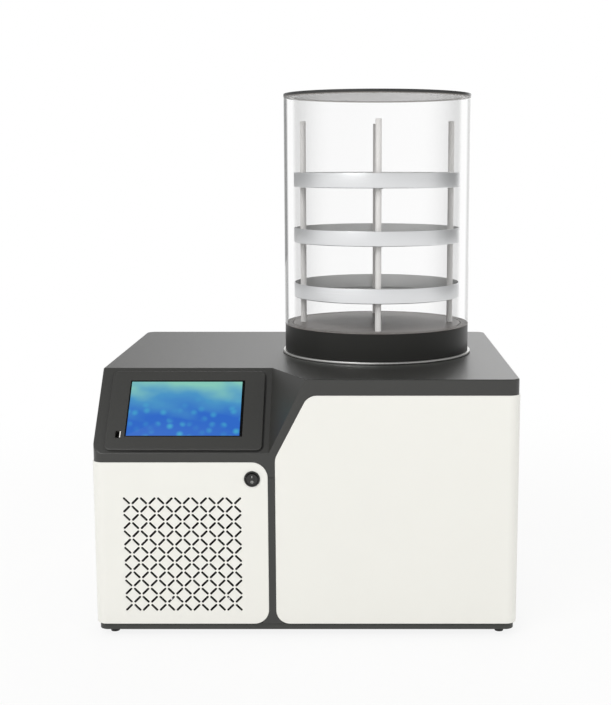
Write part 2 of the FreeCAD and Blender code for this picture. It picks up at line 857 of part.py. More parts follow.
def on_slope(item, x, up, out):
    # the slope rises by slope_rise over slope_run, from the cover's front plane
    length = "sqrt(slope_rise * slope_rise + slope_run * slope_run)"
    run, rise = f"slope_run / {length}", f"slope_rise / {length}"
    item.Placement = Placement(Vector(), Rotation(Vector(1, 0, 0), 45))
    return bind(item, {
        "Placement.Base.x": x,
        "Placement.Base.y": f"cover_front + ({up}) * {run} - ({out}) * {rise}",
        "Placement.Base.z": f"slope_foot + ({up}) * {rise} + ({out}) * {run}",
        "Placement.Rotation.Angle": "atan(slope_rise / slope_run)"})


def console_block(name, x, up, out, across, along, thick):
    item = doc.addObject("Part::Box", name)
    bind(item, {"Length": across, "Width": along, "Height": thick})
    return on_slope(item, x, up, out)


def make_console():
    glass = ("glass_middle - glass_width / 2", "glass_middle + glass_width / 2")
    glass_up = ("glass_start", "glass_start + glass_length")
    bezel = new_body("console_bezel_body")
    grow(bezel, "XY", 0, "bezel_wall", rectangle(("bezel_left", "bezel_right"), ("bezel_start", "bezel_end")))
    rounded(bezel, "bezel_radius", runs("Z"))
    outer = size("bezel_wall")
    rounded(bezel, "bezel_edge", lambda edge: all(abs(v.Point.z - outer) < 0.01 for v in edge.Vertexes))
    carve(bezel, "XY", "bezel_wall - glass_wall", "bezel_wall + cut_over", rectangle(
        (f"{glass[0]} - glass_play", f"{glass[1]} + glass_play"),
        (f"{glass_up[0]} - glass_play", f"{glass_up[1]} + glass_play")))
    carve(bezel, "XY", "-cut_over", "bezel_wall", rectangle(
        (f"{glass[0]} + display_border", f"{glass[1]} - display_border"),
        (f"{glass_up[0]} + display_border", f"{glass_up[1]} - display_border")))
    carve(bezel, "XY", "-cut_over", "bezel_wall + cut_over", rectangle(
        ("usb_middle - usb_width / 2", "usb_middle + usb_width / 2"),
        ("usb_start", "usb_start + usb_length")))
    node(on_slope(bezel, 0, 0, 0), "console_bezel")

    pane = new_body("touch_glass_body")
    grow(pane, "XY", "bezel_wall - glass_wall", "bezel_wall", rectangle(glass, glass_up))
    node(on_slope(pane, 0, 0, 0), "touch_glass")

    node(console_block(
        "display", "glass_middle - glass_width / 2 + display_border + glass_play",
        "glass_start + display_border + glass_play", "bezel_wall - glass_wall - display_depth",
        "glass_width - 2 * display_border - 2 * glass_play",
        "glass_length - 2 * display_border - 2 * glass_play", "display_depth"), "display_module")

    board = console_block("board", "glass_middle - glass_width / 2 + display_border", "glass_start",
                          "bezel_wall - glass_wall - display_depth - board_gap - board_wall",
                          "glass_width - 2 * display_border", "glass_length", "board_wall")
    spacers = [console_block(
        f"board_spacer_{i}", f"glass_middle + {side} * glass_width / 3 - board_wall",
        f"glass_start + glass_length * {share}", "bezel_wall - glass_wall - display_depth - board_gap",
        "2 * board_wall", "2 * board_wall", "board_gap")
        for i, (side, share) in enumerate(((-1, "0.25"), (1, "0.25"), (-1, "0.75"), (1, "0.75")))]
    node(joined("board_join", [board] + spacers), "control_board")

    port = new_body("usb_port_body")
    x = ("usb_middle - usb_width / 2", "usb_middle + usb_width / 2")
    up = ("usb_start", "usb_start + usb_length")
    grow(port, "XY", "bezel_wall - usb_depth", "bezel_wall", rectangle(x, up))
    carve(port, "XY", "bezel_wall - usb_depth + usb_shell", "bezel_wall + cut_over", [
        (f"{x[0]} + usb_shell", f"{up[0]} + usb_shell"), (f"{x[1]} - usb_tongue", f"{up[0]} + usb_shell"),
        (f"{x[1]} - usb_tongue", f"{up[1]} - usb_shell"), (f"{x[0]} + usb_shell", f"{up[1]} - usb_shell")])
    node(on_slope(port, 0, 0, 0), "usb_port")


# ---- round rocker switch beside the console ----

def make_switch():
    housing = turned("switch_housing_body", [
        (0, "-switch_depth"), ("switch_barrel", "-switch_depth"), ("switch_barrel", 0),
        ("switch_radius", 0), ("switch_radius", "switch_flange"), ("switch_well", "switch_flange"),
        ("switch_well", "switch_flange - switch_well_depth"), (0, "switch_flange - switch_well_depth")],
        "switch_middle", "front_face", "switch_height")
    rounded(housing, "panel_edge", circles(size("switch_radius"), size("switch_flange")))
    housing.Placement.Rotation = Rotation(Vector(1, 0, 0), 90)
    # the rocker tips on an axle across the well
    span = "(switch_well + switch_barrel) / 2"
    axle = drum("rocker_axle", "axle_radius", f"2 * {span}", f"switch_middle - {span}",
                "front_face + rocker_setback", "switch_height", "X")
    node(joined("switch_housing_join", [housing, axle]), "power_switch_housing")

    # the rocker lies tipped to its off side, with a shallow valley between its two flats
    rocker = new_body("power_rocker_body")
    grow(rocker, "YZ", "-rocker_radius", "rocker_radius", [
        ("-rocker_radius", "-rocker_half"), ("rocker_radius", "-rocker_half"),
        ("rocker_radius", "rocker_half + rocker_crown"), (0, "rocker_half"),
        ("-rocker_radius", "rocker_half + rocker_crown")], (0, 0, "axle_radius + axle_play"))
    disc = drum("rocker_disc", "rocker_radius", "4 * rocker_half", 0, 0, "-2 * rocker_half")
    common = doc.addObject("Part::Common", "rocker_common")
    common.Base = rocker
    common.Tool = disc
    common.Placement = Placement(Vector(), Rotation(Vector(1, 0, 0), 45))
    put(common, "switch_middle", "front_face + rocker_setback", "switch_height")
    bind(common, {"Placement.Rotation.Angle": "90 + rocker_tilt"})
    node(common, "power_rocker")


# ---- drying chamber and its rack ----

def at_chamber(name, profile, z=0):
    return turned(name, profile, "chamber_middle", "chamber_depth", z)


def hoop(inner, outer, low, high):
    return [(inner, low), (outer, low), (outer, high), (inner, high)]


def around_chamber(circle):
    # four places on a circle about the chamber's axis
    return {"right": (circle, "0"), "rear": ("0", circle),
            "left": (f"-{circle}", "0"), "front": ("0", f"-{circle}")}


def make_chamber():
    collar = at_chamber("chamber_collar_body", hoop(
        "collar_bore", "collar_radius", "flange_top", "collar_top"))
    rounded(collar, "collar_edge", circles(size("collar_radius")))
    node(collar, "chamber_collar")

    # the floor is a disc on the rods' shoulders, and vapour goes down past its edge to the trap
    disc = drum("floor_disc", "collar_bore - floor_play", "floor_wall", "chamber_middle", "chamber_depth",
                "floor_top - floor_wall")
    holes = [drum(f"floor_hole_{side}", "rod_radius + rod_play", "floor_wall",
                  f"chamber_middle + ({x})", f"chamber_depth + ({y})", "floor_top - floor_wall")
             for side, (x, y) in around_chamber("rod_circle").items()]
    node(cut("rack_floor_cut", disc, holes), "rack_floor")

    node(at_chamber("lower_seal_body", hoop("collar_bore", "cylinder_radius", "collar_top", "cylinder_foot")),
         "lower_seal")
    node(at_chamber("chamber_cylinder_body", hoop("cylinder_radius - cylinder_wall", "cylinder_radius",
                                                  "cylinder_foot", "cylinder_head")), "chamber_cylinder")
    node(at_chamber("upper_seal_body", hoop("collar_bore", "cylinder_radius", "cylinder_head", "lid_foot")),
         "upper_seal")
    lid = at_chamber("chamber_lid_body", [
        (0, "lid_foot"), ("lid_radius", "lid_foot"), ("lid_radius", "lid_foot + lid_wall"),
        (0, "lid_foot + lid_wall")])
    rounded(lid, "panel_edge", circles(size("lid_radius")))
    node(lid, "chamber_lid")


def make_rack():
    for side, (x, y) in around_chamber("rod_circle").items():
        rod = turned(f"rack_rod_{side}_body", [
            (0, "flange_top - floor_top"), ("rod_foot", "flange_top - floor_top"),
            ("rod_foot", "-floor_wall"), ("rod_radius", "-floor_wall"),
            ("rod_radius", "rod_length - rod_chamfer"),
            ("rod_radius - rod_chamfer", "rod_length"), (0, "rod_length")],
            f"chamber_middle + ({x})", f"chamber_depth + ({y})", "floor_top")
        node(rod, f"rack_rod_{side}")
    clips = []
    for level, name in enumerate(("bottom", "middle", "top")):
        foot = f"floor_top + tray_first + {level} * tray_pitch"
        tray = at_chamber(f"tray_{name}_body", [
            (0, 0), ("tray_radius", 0), ("tray_radius", "tray_rim"), ("tray_radius - tray_wall", "tray_rim"),
            ("tray_radius - tray_wall", "tray_wall"), (0, "tray_wall")], foot)
        hole = carve(tray, "XY", "-cut_over", "tray_wall + cut_over",
                     ("rod_circle", 0, "rod_radius + tray_rod_play"))
        repeated(tray, hole, "Z", 4)
        node(tray, f"tray_{name}")
        for side, (x, y) in around_chamber("rod_circle").items():
            place = (f"chamber_middle + ({x})", f"chamber_depth + ({y})", f"{foot} - clip_wall")
            washer = drum(f"clip_{name}_{side}", "clip_radius", "clip_wall", *place)
            bore = drum(f"clip_bore_{name}_{side}", "rod_radius", "clip_wall", *place)
            clips.append(cut(f"clip_ring_{name}_{side}", washer, [bore]))
    node(group("rack_clip_group", clips), "rack_clips")


# ---- cold trap, its coil, foam and the frame that carries them ----

def rear_tubes(play):
    # the round passages of the vacuum, air and drain tubes, widened by a play
    return [drum(f"vacuum_passage_{play}", f"vacuum_radius + {play}", "body_depth",
                 "chamber_middle", "chamber_depth", "vacuum_level", "Y"),
            drum(f"air_passage_{play}", f"air_tube + {play}", "body_depth",
                 "chamber_middle + air_offset", "chamber_depth", "vacuum_level", "Y")]


def ring_at(radius, tube, z, number):
    ring = doc.addObject("Part::Torus", f"coil_ring_{number}")
    bind(ring, {"Radius1": radius, "Radius2": tube})
    return put(ring, "chamber_middle", "chamber_depth", z)


def make_trap():
    # the pot hangs from a flange that lies on the top cover and carries the collar
    flange = at_chamber("trap_flange_body", hoop("trap_radius", "flange_radius", "body_height", "flange_top"))
    rounded(flange, "collar_edge", circles(size("flange_radius")))
    node(flange, "trap_flange")
    pot = at_chamber("cold_trap_body", [
        ("drain_bore", "trap_foot"), ("trap_radius + trap_wall", "trap_foot"),
        ("trap_radius + trap_wall", "body_height"), ("trap_radius", "body_height"),
        ("trap_radius", "trap_foot + trap_wall"), ("drain_bore", "trap_foot + trap_wall")])
    # the vacuum and air tubes butt on the pot's wall and run straight to the rear panel
    outside = "(trap_radius + trap_wall)"
    lines = (("vacuum_tube", "vacuum_radius", "vacuum_bore", "chamber_middle"),
             ("air_tube", "air_tube", "air_bore", "chamber_middle + air_offset"))
    tubes, bores = [], []
    for name, outer, inner, x in lines:
        reach = "body_depth - chamber_setback"
        core = drum(f"{name}_core", outside, "4 * vacuum_radius",
                    "chamber_middle", "chamber_depth", "vacuum_level - 2 * vacuum_radius")
        bore = drum(f"{name}_bore", inner, f"{reach} + cut_over", x, "chamber_depth", "vacuum_level", "Y")
        tubes.append(cut(name, drum(f"{name}_outer", outer, reach, x, "chamber_depth", "vacuum_level", "Y"),
                         [core, bore]))
        bores.append(drum(f"{name}_hole", inner, reach, x, "chamber_depth", "vacuum_level", "Y"))
    node(cut("cold_trap_cut", pot, bores), "cold_trap")
    node(group("trap_pipe_group", tubes), "trap_pipes")

    # the coil's turns are rings round the pot, joined by an upright header at the front
    turns = [ring_at("coil_radius", "coil_tube", f"trap_foot + coil_lift + ({i} + 1 / 2) * coil_pitch", i)
             for i in range(int(size("coil_turns")))]
    header = drum("coil_header", "header_tube", "(coil_turns - 1) * coil_pitch", "chamber_middle",
                  "chamber_depth - coil_radius", "trap_foot + coil_lift + coil_pitch / 2")
    node(joined("evaporator_coil_join", turns + [header]), "evaporator_coil")

    foam = at_chamber("trap_foam_body", [
        (0, "trap_foot - foam_floor"), ("foam_radius", "trap_foot - foam_floor"),
        ("foam_radius", "deck_under"), ("foam_bore", "deck_under"), ("foam_bore", "trap_foot"),
        (0, "trap_foot")])
    passages = rear_tubes("panel_gap") + [
        drum("drain_passage", "drain_radius + panel_gap", "2 * foam_floor",
             "chamber_middle", "chamber_depth", "trap_foot - foam_floor - cut_over"),
        drum("suction_passage", "pipe_radius + panel_gap", "2 * foam_wall",
             "chamber_middle - foam_radius - cut_over", "chamber_depth", suction_level, "X"),
        drum("liquid_passage", "pipe_radius + panel_gap", "2 * foam_wall",
             "chamber_middle - foam_radius - cut_over", "chamber_depth", liquid_level, "X")]
    node(cut("trap_foam_cut", foam, passages), "trap_insulation")


# the pipes meet the coil at its left side, half a turn above its foot and below its head
suction_level = "trap_foot + coil_lift + (coil_turns - 1 / 2) * coil_pitch"
liquid_level = "trap_foot + coil_lift + coil_pitch / 2"


def make_frame():
    plate = new_body("deck_body")
    side = "side_right - deck_margin"
    y = ("cover_front + 2 * deck_margin", "rear_face - deck_margin")
    left = "chamber_middle - foam_radius + deck_margin"
    grow(plate, "XY", "deck_under", "deck_under + deck_wall", rectangle((left, side), y))
    carve(plate, "XY", "deck_under - cut_over", "deck_under + deck_wall + cut_over",
          ("chamber_middle", "chamber_depth", "trap_radius + trap_wall + trap_play"))
    node(plate, "deck_plate")
    right = f"{side} - post_inset - post_side"
    posts = []
    for depth, low in (("front", f"{y[0]} + post_inset"), ("rear", f"{y[1]} - post_inset - post_side")):
        post = new_body(f"deck_post_{depth}_body")
        grow(post, "XY", "pan_floor", "deck_under",
             rectangle((right, f"{right} + post_side"), (low, f"{low} + post_side")),
             rectangle((f"{right} + post_wall", f"{right} + post_side - post_wall"),
                       (f"{low} + post_wall", f"{low} + post_side - post_wall")))
        posts.append(post)
    node(group("deck_post_group", posts), "deck_posts")
    wall = block("partition_sheet",
                 ("chamber_middle - foam_radius - partition_gap - partition_wall", "partition_wall"),
                 ("cover_front + slope_run + deck_margin", "body_depth - slope_run - 3 * deck_margin"),
                 ("pan_floor", "body_height - cover_wall - pan_floor"))
    over = "chamber_middle - foam_radius - partition_gap - partition_wall - cut_over"
    holes = [drum(f"{name}_hole", "pipe_radius + panel_gap", "partition_wall + 2 * cut_over",
                  over, "chamber_depth", level, "X")
             for name, level in (("suction", suction_level), ("liquid", liquid_level))]
    node(cut("partition_cut", wall, holes), "partition")


# ---- refrigeration machinery in the left bay ----

def make_compressor():
    top = "grommet_top + compressor_base"
    body = turned("compressor_body", [
        (0, top), ("compressor_radius - compressor_dome", top),
        ("compressor_radius", f"{top} + compressor_dome"),
        ("compressor_radius", "grommet_top + compressor_height - compressor_dome"),
        ("compressor_radius - compressor_dome", "grommet_top + compressor_height"),
        (0, "grommet_top + compressor_height")],
        "compressor_middle", "front_face + compressor_setback")
    rounded(body, "compressor_dome / 2", circles(size("compressor_radius")))
    half = "compressor_foot_span / 2"
    reach = f"({half} + grommet_radius)"
    plate = block("compressor_plate",
                  (f"compressor_middle - {reach}", f"2 * {reach}"),
                  (f"front_face + compressor_setback - {reach}", f"2 * {reach}"),
                  ("grommet_top", "compressor_base"))
    terminal = block("compressor_terminal",
                     ("compressor_middle - compressor_dome / 2", "compressor_dome"),
                     ("front_face + compressor_setback + compressor_radius - compressor_base",
                      "compressor_dome / 2"),
                     ("grommet_top + compressor_height / 2 - compressor_dome", "2 * compressor_dome"))
    node(joined("compressor_join", [body, plate, terminal]), "compressor")
    grommets = [drum(f"grommet_{i}{j}", "grommet_radius", "grommet_height",
                     f"compressor_middle + {i} * {half}",
                     f"front_face + compressor_setback + {j} * {half}", "pan_floor")
                for i in (-1, 1) for j in (-1, 1)]
    node(group("grommet_group", grommets), "compressor_grommets")


def make_condenser():
    low_x = "vent_middle - condenser_width / 2"
    low_y = "front_face + condenser_setback"
    low_z = "pan_floor + condenser_lift"
    parts = [block("condenser_foot", (low_x, "condenser_width"),
                   (f"{low_y} + condenser_depth / 4", "condenser_depth / 2"),
                   ("pan_floor", "condenser_lift"))]
    for side, x in (("left", low_x), ("right", f"{low_x} + condenser_width - end_plate")):
        parts.append(block(f"condenser_end_{side}", (x, "end_plate"), (low_y, "condenser_depth"),
                           (low_z, "condenser_height")))
    count = int(size("fin_count"))
    for i in range(1, count + 1):
        x = f"{low_x} + {i} * condenser_width / (fin_count + 1) - fin_wall / 2"
        parts.append(block(f"fin_{i}", (x, "fin_wall"), (low_y, "condenser_depth"),
                           (low_z, "condenser_height")))
    rows = int(size("tube_rows"))
    for i in range(rows):
        z = f"{low_z} + ({i} + 1 / 2) * condenser_height / tube_rows"
        parts.append(drum(f"condenser_tube_{i}", "tube_radius", "condenser_width",
                          low_x, f"{low_y} + condenser_depth / 2", z, "X"))
    node(joined("condenser_join", parts), "condenser")


def make_fan():
    bore = "fan_radius + fan_play"
    shroud = turned("fan_shroud_body", [
        (bore, "-shroud_depth / 2"), (f"{bore} + shroud_wall", "-shroud_depth / 2"),
        (f"{bore} + shroud_wall", "shroud_depth / 2"), (bore, "shroud_depth / 2")])
    width, rise = "condenser_width / 2", "condenser_height / 2"
    grow(shroud, "XY", "shroud_depth / 2 - shroud_wall", "shroud_depth / 2",
         rectangle((f"-{width}", width), (f"-{rise}", rise)), (0, 0, bore))
    back = "-shroud_depth / 2 - shroud_wall"
    front = "-shroud_depth / 2"
    grow(shroud, "XY", back, front,
         (0, 0, "motor_radius + shroud_wall"), (0, 0, "motor_radius - shroud_wall"))
    arm = grow(shroud, "XY", back, front, rectangle(
        ("motor_radius", f"{bore} + shroud_wall"), ("-spoke_width / 2", "spoke_width / 2")))
    repeated(shroud, arm, "Z", 4)
    node(behind_vent(shroud), "fan_shroud")

    reach = "fan_shaft_length + fan_hub_depth / 2"
    hub = turned("fan_hub_body", [
        (0, f"-({reach})"), ("fan_shaft", f"-({reach})"), ("fan_shaft", "-fan_hub_depth / 2"),
        ("fan_hub", "-fan_hub_depth / 2"), ("fan_hub", "fan_hub_depth / 2"), (0, "fan_hub_depth / 2")])
    rounded(hub, "fan_blade_wall", circles(size("fan_hub"), size("fan_hub_depth") / 2))
    blades = []
    for i in range(int(size("fan_blades"))):
        root, chord = size("fan_hub") - size("fan_root"), size("fan_chord")
        blade = Part.makeBox(size("fan_radius") - root, chord, size("fan_blade_wall"),
                             Vector(root, -chord / 2, -size("fan_blade_wall") / 2))
        blade.rotate(Vector(), Vector(1, 0, 0), size("fan_pitch"))
        blade.rotate(Vector(), Vector(0, 0, 1), 360 * i / size("fan_blades"))
        blades.append(blade)
    sweep = Part.makeCylinder(size("fan_radius"), size("shroud_depth"),
                              Vector(0, 0, -size("shroud_depth") / 2))
    vanes = shaped("fan_vanes", blades[0].fuse(blades[1:]).common(sweep))
    node(behind_vent(joined("fan_join", [hub, vanes])), "fan_blades")

    clear = "shroud_depth / 2 + shroud_wall"
    motor = turned("fan_motor_body", [
        ("fan_shaft + fan_shaft_play", f"-({clear})"), ("motor_radius", f"-({clear})"),
        ("motor_radius", f"-({clear} + motor_depth)"), (0, f"-({clear} + motor_depth)"),
        (0, f"-({reach} + motor_gap)"), ("fan_shaft + fan_shaft_play", f"-({reach} + motor_gap)")])
    node(behind_vent(motor), "fan_motor")


def behind_vent(item):
    # turns a piece built about Z to face the front, on the middle of the vent
    item.Placement = Placement(Vector(), Rotation(Vector(1, 0, 0), 90))
    return put(item, "vent_middle", "front_face + fan_setback",
               "pan_floor + condenser_lift + condenser_height / 2")


def make_pipes():
    chamber = Vector(size("chamber_middle"), size("chamber_depth"), 0)
    left = chamber.x - size("coil_radius") - size("coil_tube")
    levels = {"suction": size("trap_foot") + size("coil_lift")
              + (size("coil_turns") - 0.5) * size("coil_pitch"),
              "liquid": size("trap_foot") + size("coil_lift") + 0.5 * size("coil_pitch")}
    outer, inner, bend = size("pipe_radius"), size("pipe_bore"), size("pipe_bend")
    pump = Vector(size("compressor_middle"), size("front_face") + size("compressor_setback"), 0)
    shell = pump.x + size("compressor_radius")
    stub = size("grommet_top") + size("compressor_height") / 2
    bay = (shell + chamber.x - size("foam_radius")) / 2
    suction = [Vector(shell, pump.y, stub), Vector(bay, pump.y, stub),
               Vector(bay, pump.y, levels["suction"]), Vector(bay, chamber.y, levels["suction"]),
               Vector(left, chamber.y, levels["suction"])]

    drier_x, drier_y = drier_place()
    drier_foot = levels["liquid"] + size("drier_radius") * 2
    bottom = [Vector(drier_x, drier_y, drier_foot), Vector(drier_x, drier_y, levels["liquid"]),
              Vector(drier_x, chamber.y, levels["liquid"]), Vector(left, chamber.y, levels["liquid"])]
    node(group("evaporator_pipe_group", [
        shaped("suction_run", tube_along(suction, bend * 0.45, outer, inner)),
        shaped("liquid_run", tube_along(bottom, bend * 0.8, outer, inner))]), "evaporator_pipes")

    end_x = size("vent_middle") + size("condenser_width") / 2
    row = size("condenser_height") / size("tube_rows")
    core = Vector(end_x, size("front_face") + size("condenser_setback") + size("condenser_depth") / 2,
                  size("pan_floor") + size("condenser_lift"))
    high, low = core.z + (size("tube_rows") - 0.5) * row, core.z + row / 2
    head = drier_foot + size("drier_length")
    feed = [Vector(core.x, core.y, low), Vector(drier_x, core.y, low),
            Vector(drier_x, core.y + 2 * bend, low),
            Vector(drier_x, core.y + 2 * bend, head + 2 * bend), Vector(drier_x, drier_y, head + 2 * bend),
            Vector(drier_x, drier_y, head)]
    node(shaped("condensate_run", tube_along(feed, bend * 0.8, outer, inner)), "condensate_pipe")

    crown = size("grommet_top") + size("compressor_height")
    far_x = core.x - size("condenser_width")
    out = [Vector(pump.x, pump.y, crown), Vector(pump.x, pump.y, crown + 2 * bend),
           Vector(far_x - 1.2 * bend, pump.y, crown + 2 * bend),
           Vector(far_x - 1.2 * bend, core.y, crown + 2 * bend),
           Vector(far_x - 1.2 * bend, core.y, high), Vector(far_x, core.y, high)]
    node(shaped("discharge_run", tube_along(out, bend * 0.8, outer, inner)), "discharge_pipe")


def drier_place():
    # the filter drier stands between the condenser and the partition
    wall = size("chamber_middle") - size("foam_radius")
    return (wall - 1.6 * size("drier_radius"),
            size("front_face") + size("condenser_setback") + size("condenser_depth") + 100)


def make_drier():
    x, y = drier_place()
    foot = size("trap_foot") + size("coil_lift") + size("coil_pitch") / 2 + 2 * size("drier_radius")
    cone = "drier_radius"
    drier = turned("filter_drier_body", [
        (0, 0), ("pipe_radius + panel_gap", 0), ("drier_radius", cone),
        ("drier_radius", f"drier_length - {cone}"), ("pipe_radius + panel_gap", "drier_length"),
        (0, "drier_length")], str(round(x, 4)), str(round(y, 4)), str(round(foot, 4)))
    node(drier, "filter_drier")


# ---- fittings at the rear ----

def behind(item, x, z):
    # turns a piece built about Z so that it stands out of the rear panel
    item.Placement = Placement(Vector(), Rotation(Vector(1, 0, 0), -90))
    return put(item, x, "rear_face", z)


def make_vacuum():
    port = turned("vacuum_port_body", [
        ("vacuum_bore", 0), ("port_base", 0), ("port_base", "port_base_wall"),
        ("vacuum_radius", "port_base_wall"), ("vacuum_radius", "vacuum_reach - 2 * port_flange_wall"),
        ("port_flange", "vacuum_reach - port_flange_wall"), ("port_flange", "vacuum_reach"),
        ("port_socket", "vacuum_reach"), ("port_socket", "vacuum_reach - port_socket_depth"),
        ("vacuum_bore", "vacuum_reach - port_socket_depth")])
    node(behind(port, "chamber_middle", "vacuum_level"), "vacuum_port")
    gauge = turned("vacuum_gauge_body", [
        (0, 0), ("gauge_radius / 2", 0), ("gauge_radius / 2", "gauge_height / 4"),
        ("gauge_radius", "gauge_height / 4"), ("gauge_radius", "gauge_height"), (0, "gauge_height")],
        "chamber_middle", "rear_face - gauge_setback", "vacuum_level + vacuum_radius")
    node(gauge, "vacuum_gauge")

    valve = turned("air_valve_body_body", [
        (0, 0), ("air_body_radius", 0), ("air_body_radius", "air_body_reach"),
        ("air_stem + air_stem_play", "air_body_reach"), ("air_stem + air_stem_play", "air_body_reach / 2"),
        (0, "air_body_reach / 2")])
    rounded(valve, "collar_edge / 2", circles(size("air_body_radius"), size("air_body_reach")))
    node(behind(valve, "chamber_middle + air_offset", "vacuum_level"), "air_valve_body")
    foot = "air_body_reach + panel_gap"
    knob = turned("air_valve_knob_body", [
        (0, "air_body_reach / 2 + panel_gap"), ("air_stem", "air_body_reach / 2 + panel_gap"),
        ("air_stem", foot), ("knob_radius", foot), ("knob_radius", f"{foot} + knob_depth / 2"),
        (0, f"{foot} + knob_depth / 2")])
    grow(knob, "XY", f"{foot} + knob_depth / 2", f"{foot} + knob_depth", rectangle(
        ("-knob_bar / 2", "knob_bar / 2"), ("-knob_radius + collar_edge", "knob_radius - collar_edge")))
    node(behind(knob, "chamber_middle + air_offset", "vacuum_level"), "air_valve_knob")


def make_drain():
    x, y = size("chamber_middle"), size("chamber_depth")
    points = [Vector(x, y, size("trap_foot")), Vector(x, y, size("drain_height")),
              Vector(x, size("rear_face"), size("drain_height"))]
    run = tube_along(points, size("drain_bend"), size("drain_radius"), size("drain_bore"))
    node(shaped("drain_run", run), "drain_pipe")
    end = "rear_reach"
    body = turned("drain_valve_body_body", [
        ("drain_spigot_bore", 0), ("drain_body", 0), ("drain_body", "drain_body_length"),
        ("drain_spigot", "drain_body_length"), ("drain_spigot", end), ("drain_spigot_bore", end)])
    rounded(body, "collar_edge", circles(size("drain_body"), size("drain_body_length")))
    behind(body, "chamber_middle", "drain_height")
    collar = drum("valve_neck", "stem_radius + collar_edge", "drain_body + stem_height",
                  "chamber_middle", "rear_face + drain_body_length / 2", "drain_height")
    way = drum("valve_way", "drain_spigot_bore", "drain_body_length + 2 * cut_over",
               "chamber_middle", "rear_face - cut_over", "drain_height", "Y")
    well = drum("valve_well", "stem_radius + stem_play", "stem_height + cut_over",
                "chamber_middle", "rear_face + drain_body_length / 2", "drain_height + drain_body")
    node(cut("drain_valve_cut", joined("drain_valve_join", [body, collar]), [
        joined("drain_valve_ways", [way, well])]), "drain_valve_body")

    level = "drain_height + drain_body + stem_height + panel_gap"
    lever = new_body("drain_lever_body")
    middle = "rear_face + drain_body_length / 2"
    half = "lever_width / 2"
    grow(lever, "XY", level, f"{level} + lever_wall", rectangle(
        (f"chamber_middle - {half}", f"chamber_middle + lever_length"),
        (f"{middle} - {half}", f"{middle} + {half}")))
    rounded(lever, f"{half} - panel_gap", runs("Z"))
    grow(lever, "XY", "drain_height + drain_body + panel_gap", level,
         ("chamber_middle", middle, "stem_radius"))
    node(lever, "drain_lever")


# ---- electrics ----

def make_electrics():
    wide, rise = "inlet_width / 2", "inlet_rise / 2"
    flange = "(panel_wall + panel_gap)"
    for name, middle in (("mains_inlet", "inlet_middle - outlet_spacing / 2"),
                         ("pump_outlet", "inlet_middle + outlet_spacing / 2")):
        body = new_body(f"{name}_body")
        face = "rear_face + inlet_proud"
        grow(body, "XZ", f"{face} - inlet_depth", face, rectangle(
            (f"{middle} - {wide} + panel_gap", f"{middle} + {wide} - panel_gap"),
            (f"inlet_height - {rise} + panel_gap", f"inlet_height + {rise} - panel_gap")))
        grow(body, "XZ", "rear_face", face, rectangle(
            (f"{middle} - {wide} - {flange}", f"{middle} + {wide} + {flange}"),
            (f"inlet_height - {rise} - {flange}", f"inlet_height + {rise} + {flange}")))
        well = rectangle((f"{middle} - inlet_well_width / 2", f"{middle} + inlet_well_width / 2"),
                         ("inlet_height - inlet_well_rise / 2", "inlet_height + inlet_well_rise / 2"))
        pins = [rectangle((f"{middle} + {i} * pin_spread - pin_width / 2",
                           f"{middle} + {i} * pin_spread + pin_width / 2"),
                          ("inlet_height - pin_rise / 2 + {} * pin_rise".format(0.5 if i == 0 else -0.5),
                           "inlet_height + pin_rise / 2 + {} * pin_rise".format(0.5 if i == 0 else -0.5)))
                for i in (-1, 0, 1)]
        inside = f"{face} - inlet_well_depth"
        # the inlet is a well with three pins in it, the outlet a block with three slots
        carve(body, "XZ", inside, f"{face} + cut_over", *([well] + pins if name == "mains_inlet" else pins))
        if name == "mains_inlet":
            carve(body, "XZ", f"{face} - pin_width", f"{face} + cut_over", well)
        node(body, name)

    supply = block("supply_case", ("supply_middle - supply_width / 2", "supply_width"),
                   ("rear_face - 2 * deck_margin - supply_depth", "supply_depth"),
                   ("supply_level", "supply_height"))
    bracket = block("supply_bracket", ("supply_middle - supply_width / 2", "supply_width"),
                    ("rear_face - 2 * deck_margin", "2 * deck_margin - panel_wall - cover_wall"),
                    ("supply_level", "panel_wall"))
    node(joined("supply_join", [supply, bracket]), "power_supply")


make_base_pan()
make_feet()
make_pillar()
make_left_panel()
make_right_panel()
make_rear_panel()
make_top_cover()
make_screws()
make_console()
make_switch()
make_chamber()
make_rack()
make_trap()
make_frame()
make_compressor()
make_condenser()
make_fan()
make_drier()
make_pipes()
make_vacuum()
make_drain()
make_electrics()
doc.recompute()

faults = [item.Name for item in doc.Objects if "Invalid" in item.State or "Error" in item.State]
faults += [item.Label for item in nodes if item.Shape.isNull() or not item.Shape.isValid()]
if faults:
    raise RuntimeError("these did not build: " + ", ".join(faults))
os.makedirs("parts", exist_ok=True)
for item in nodes:
    item.Shape.exportStep(f"parts/{item.Label}.step")
    box = item.Shape.BoundBox
    print(f"{item.Label:22} {len(item.Shape.Solids)} solid(s) {item.Shape.Volume / 1000:9.1f} cm3 "
          f"x {box.XMin:.1f} {box.XMax:.1f} y {box.YMin:.1f} {box.YMax:.1f} z {box.ZMin:.1f} {box.ZMax:.1f}")
print(len(nodes), "nodes")
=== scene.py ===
import json
import math

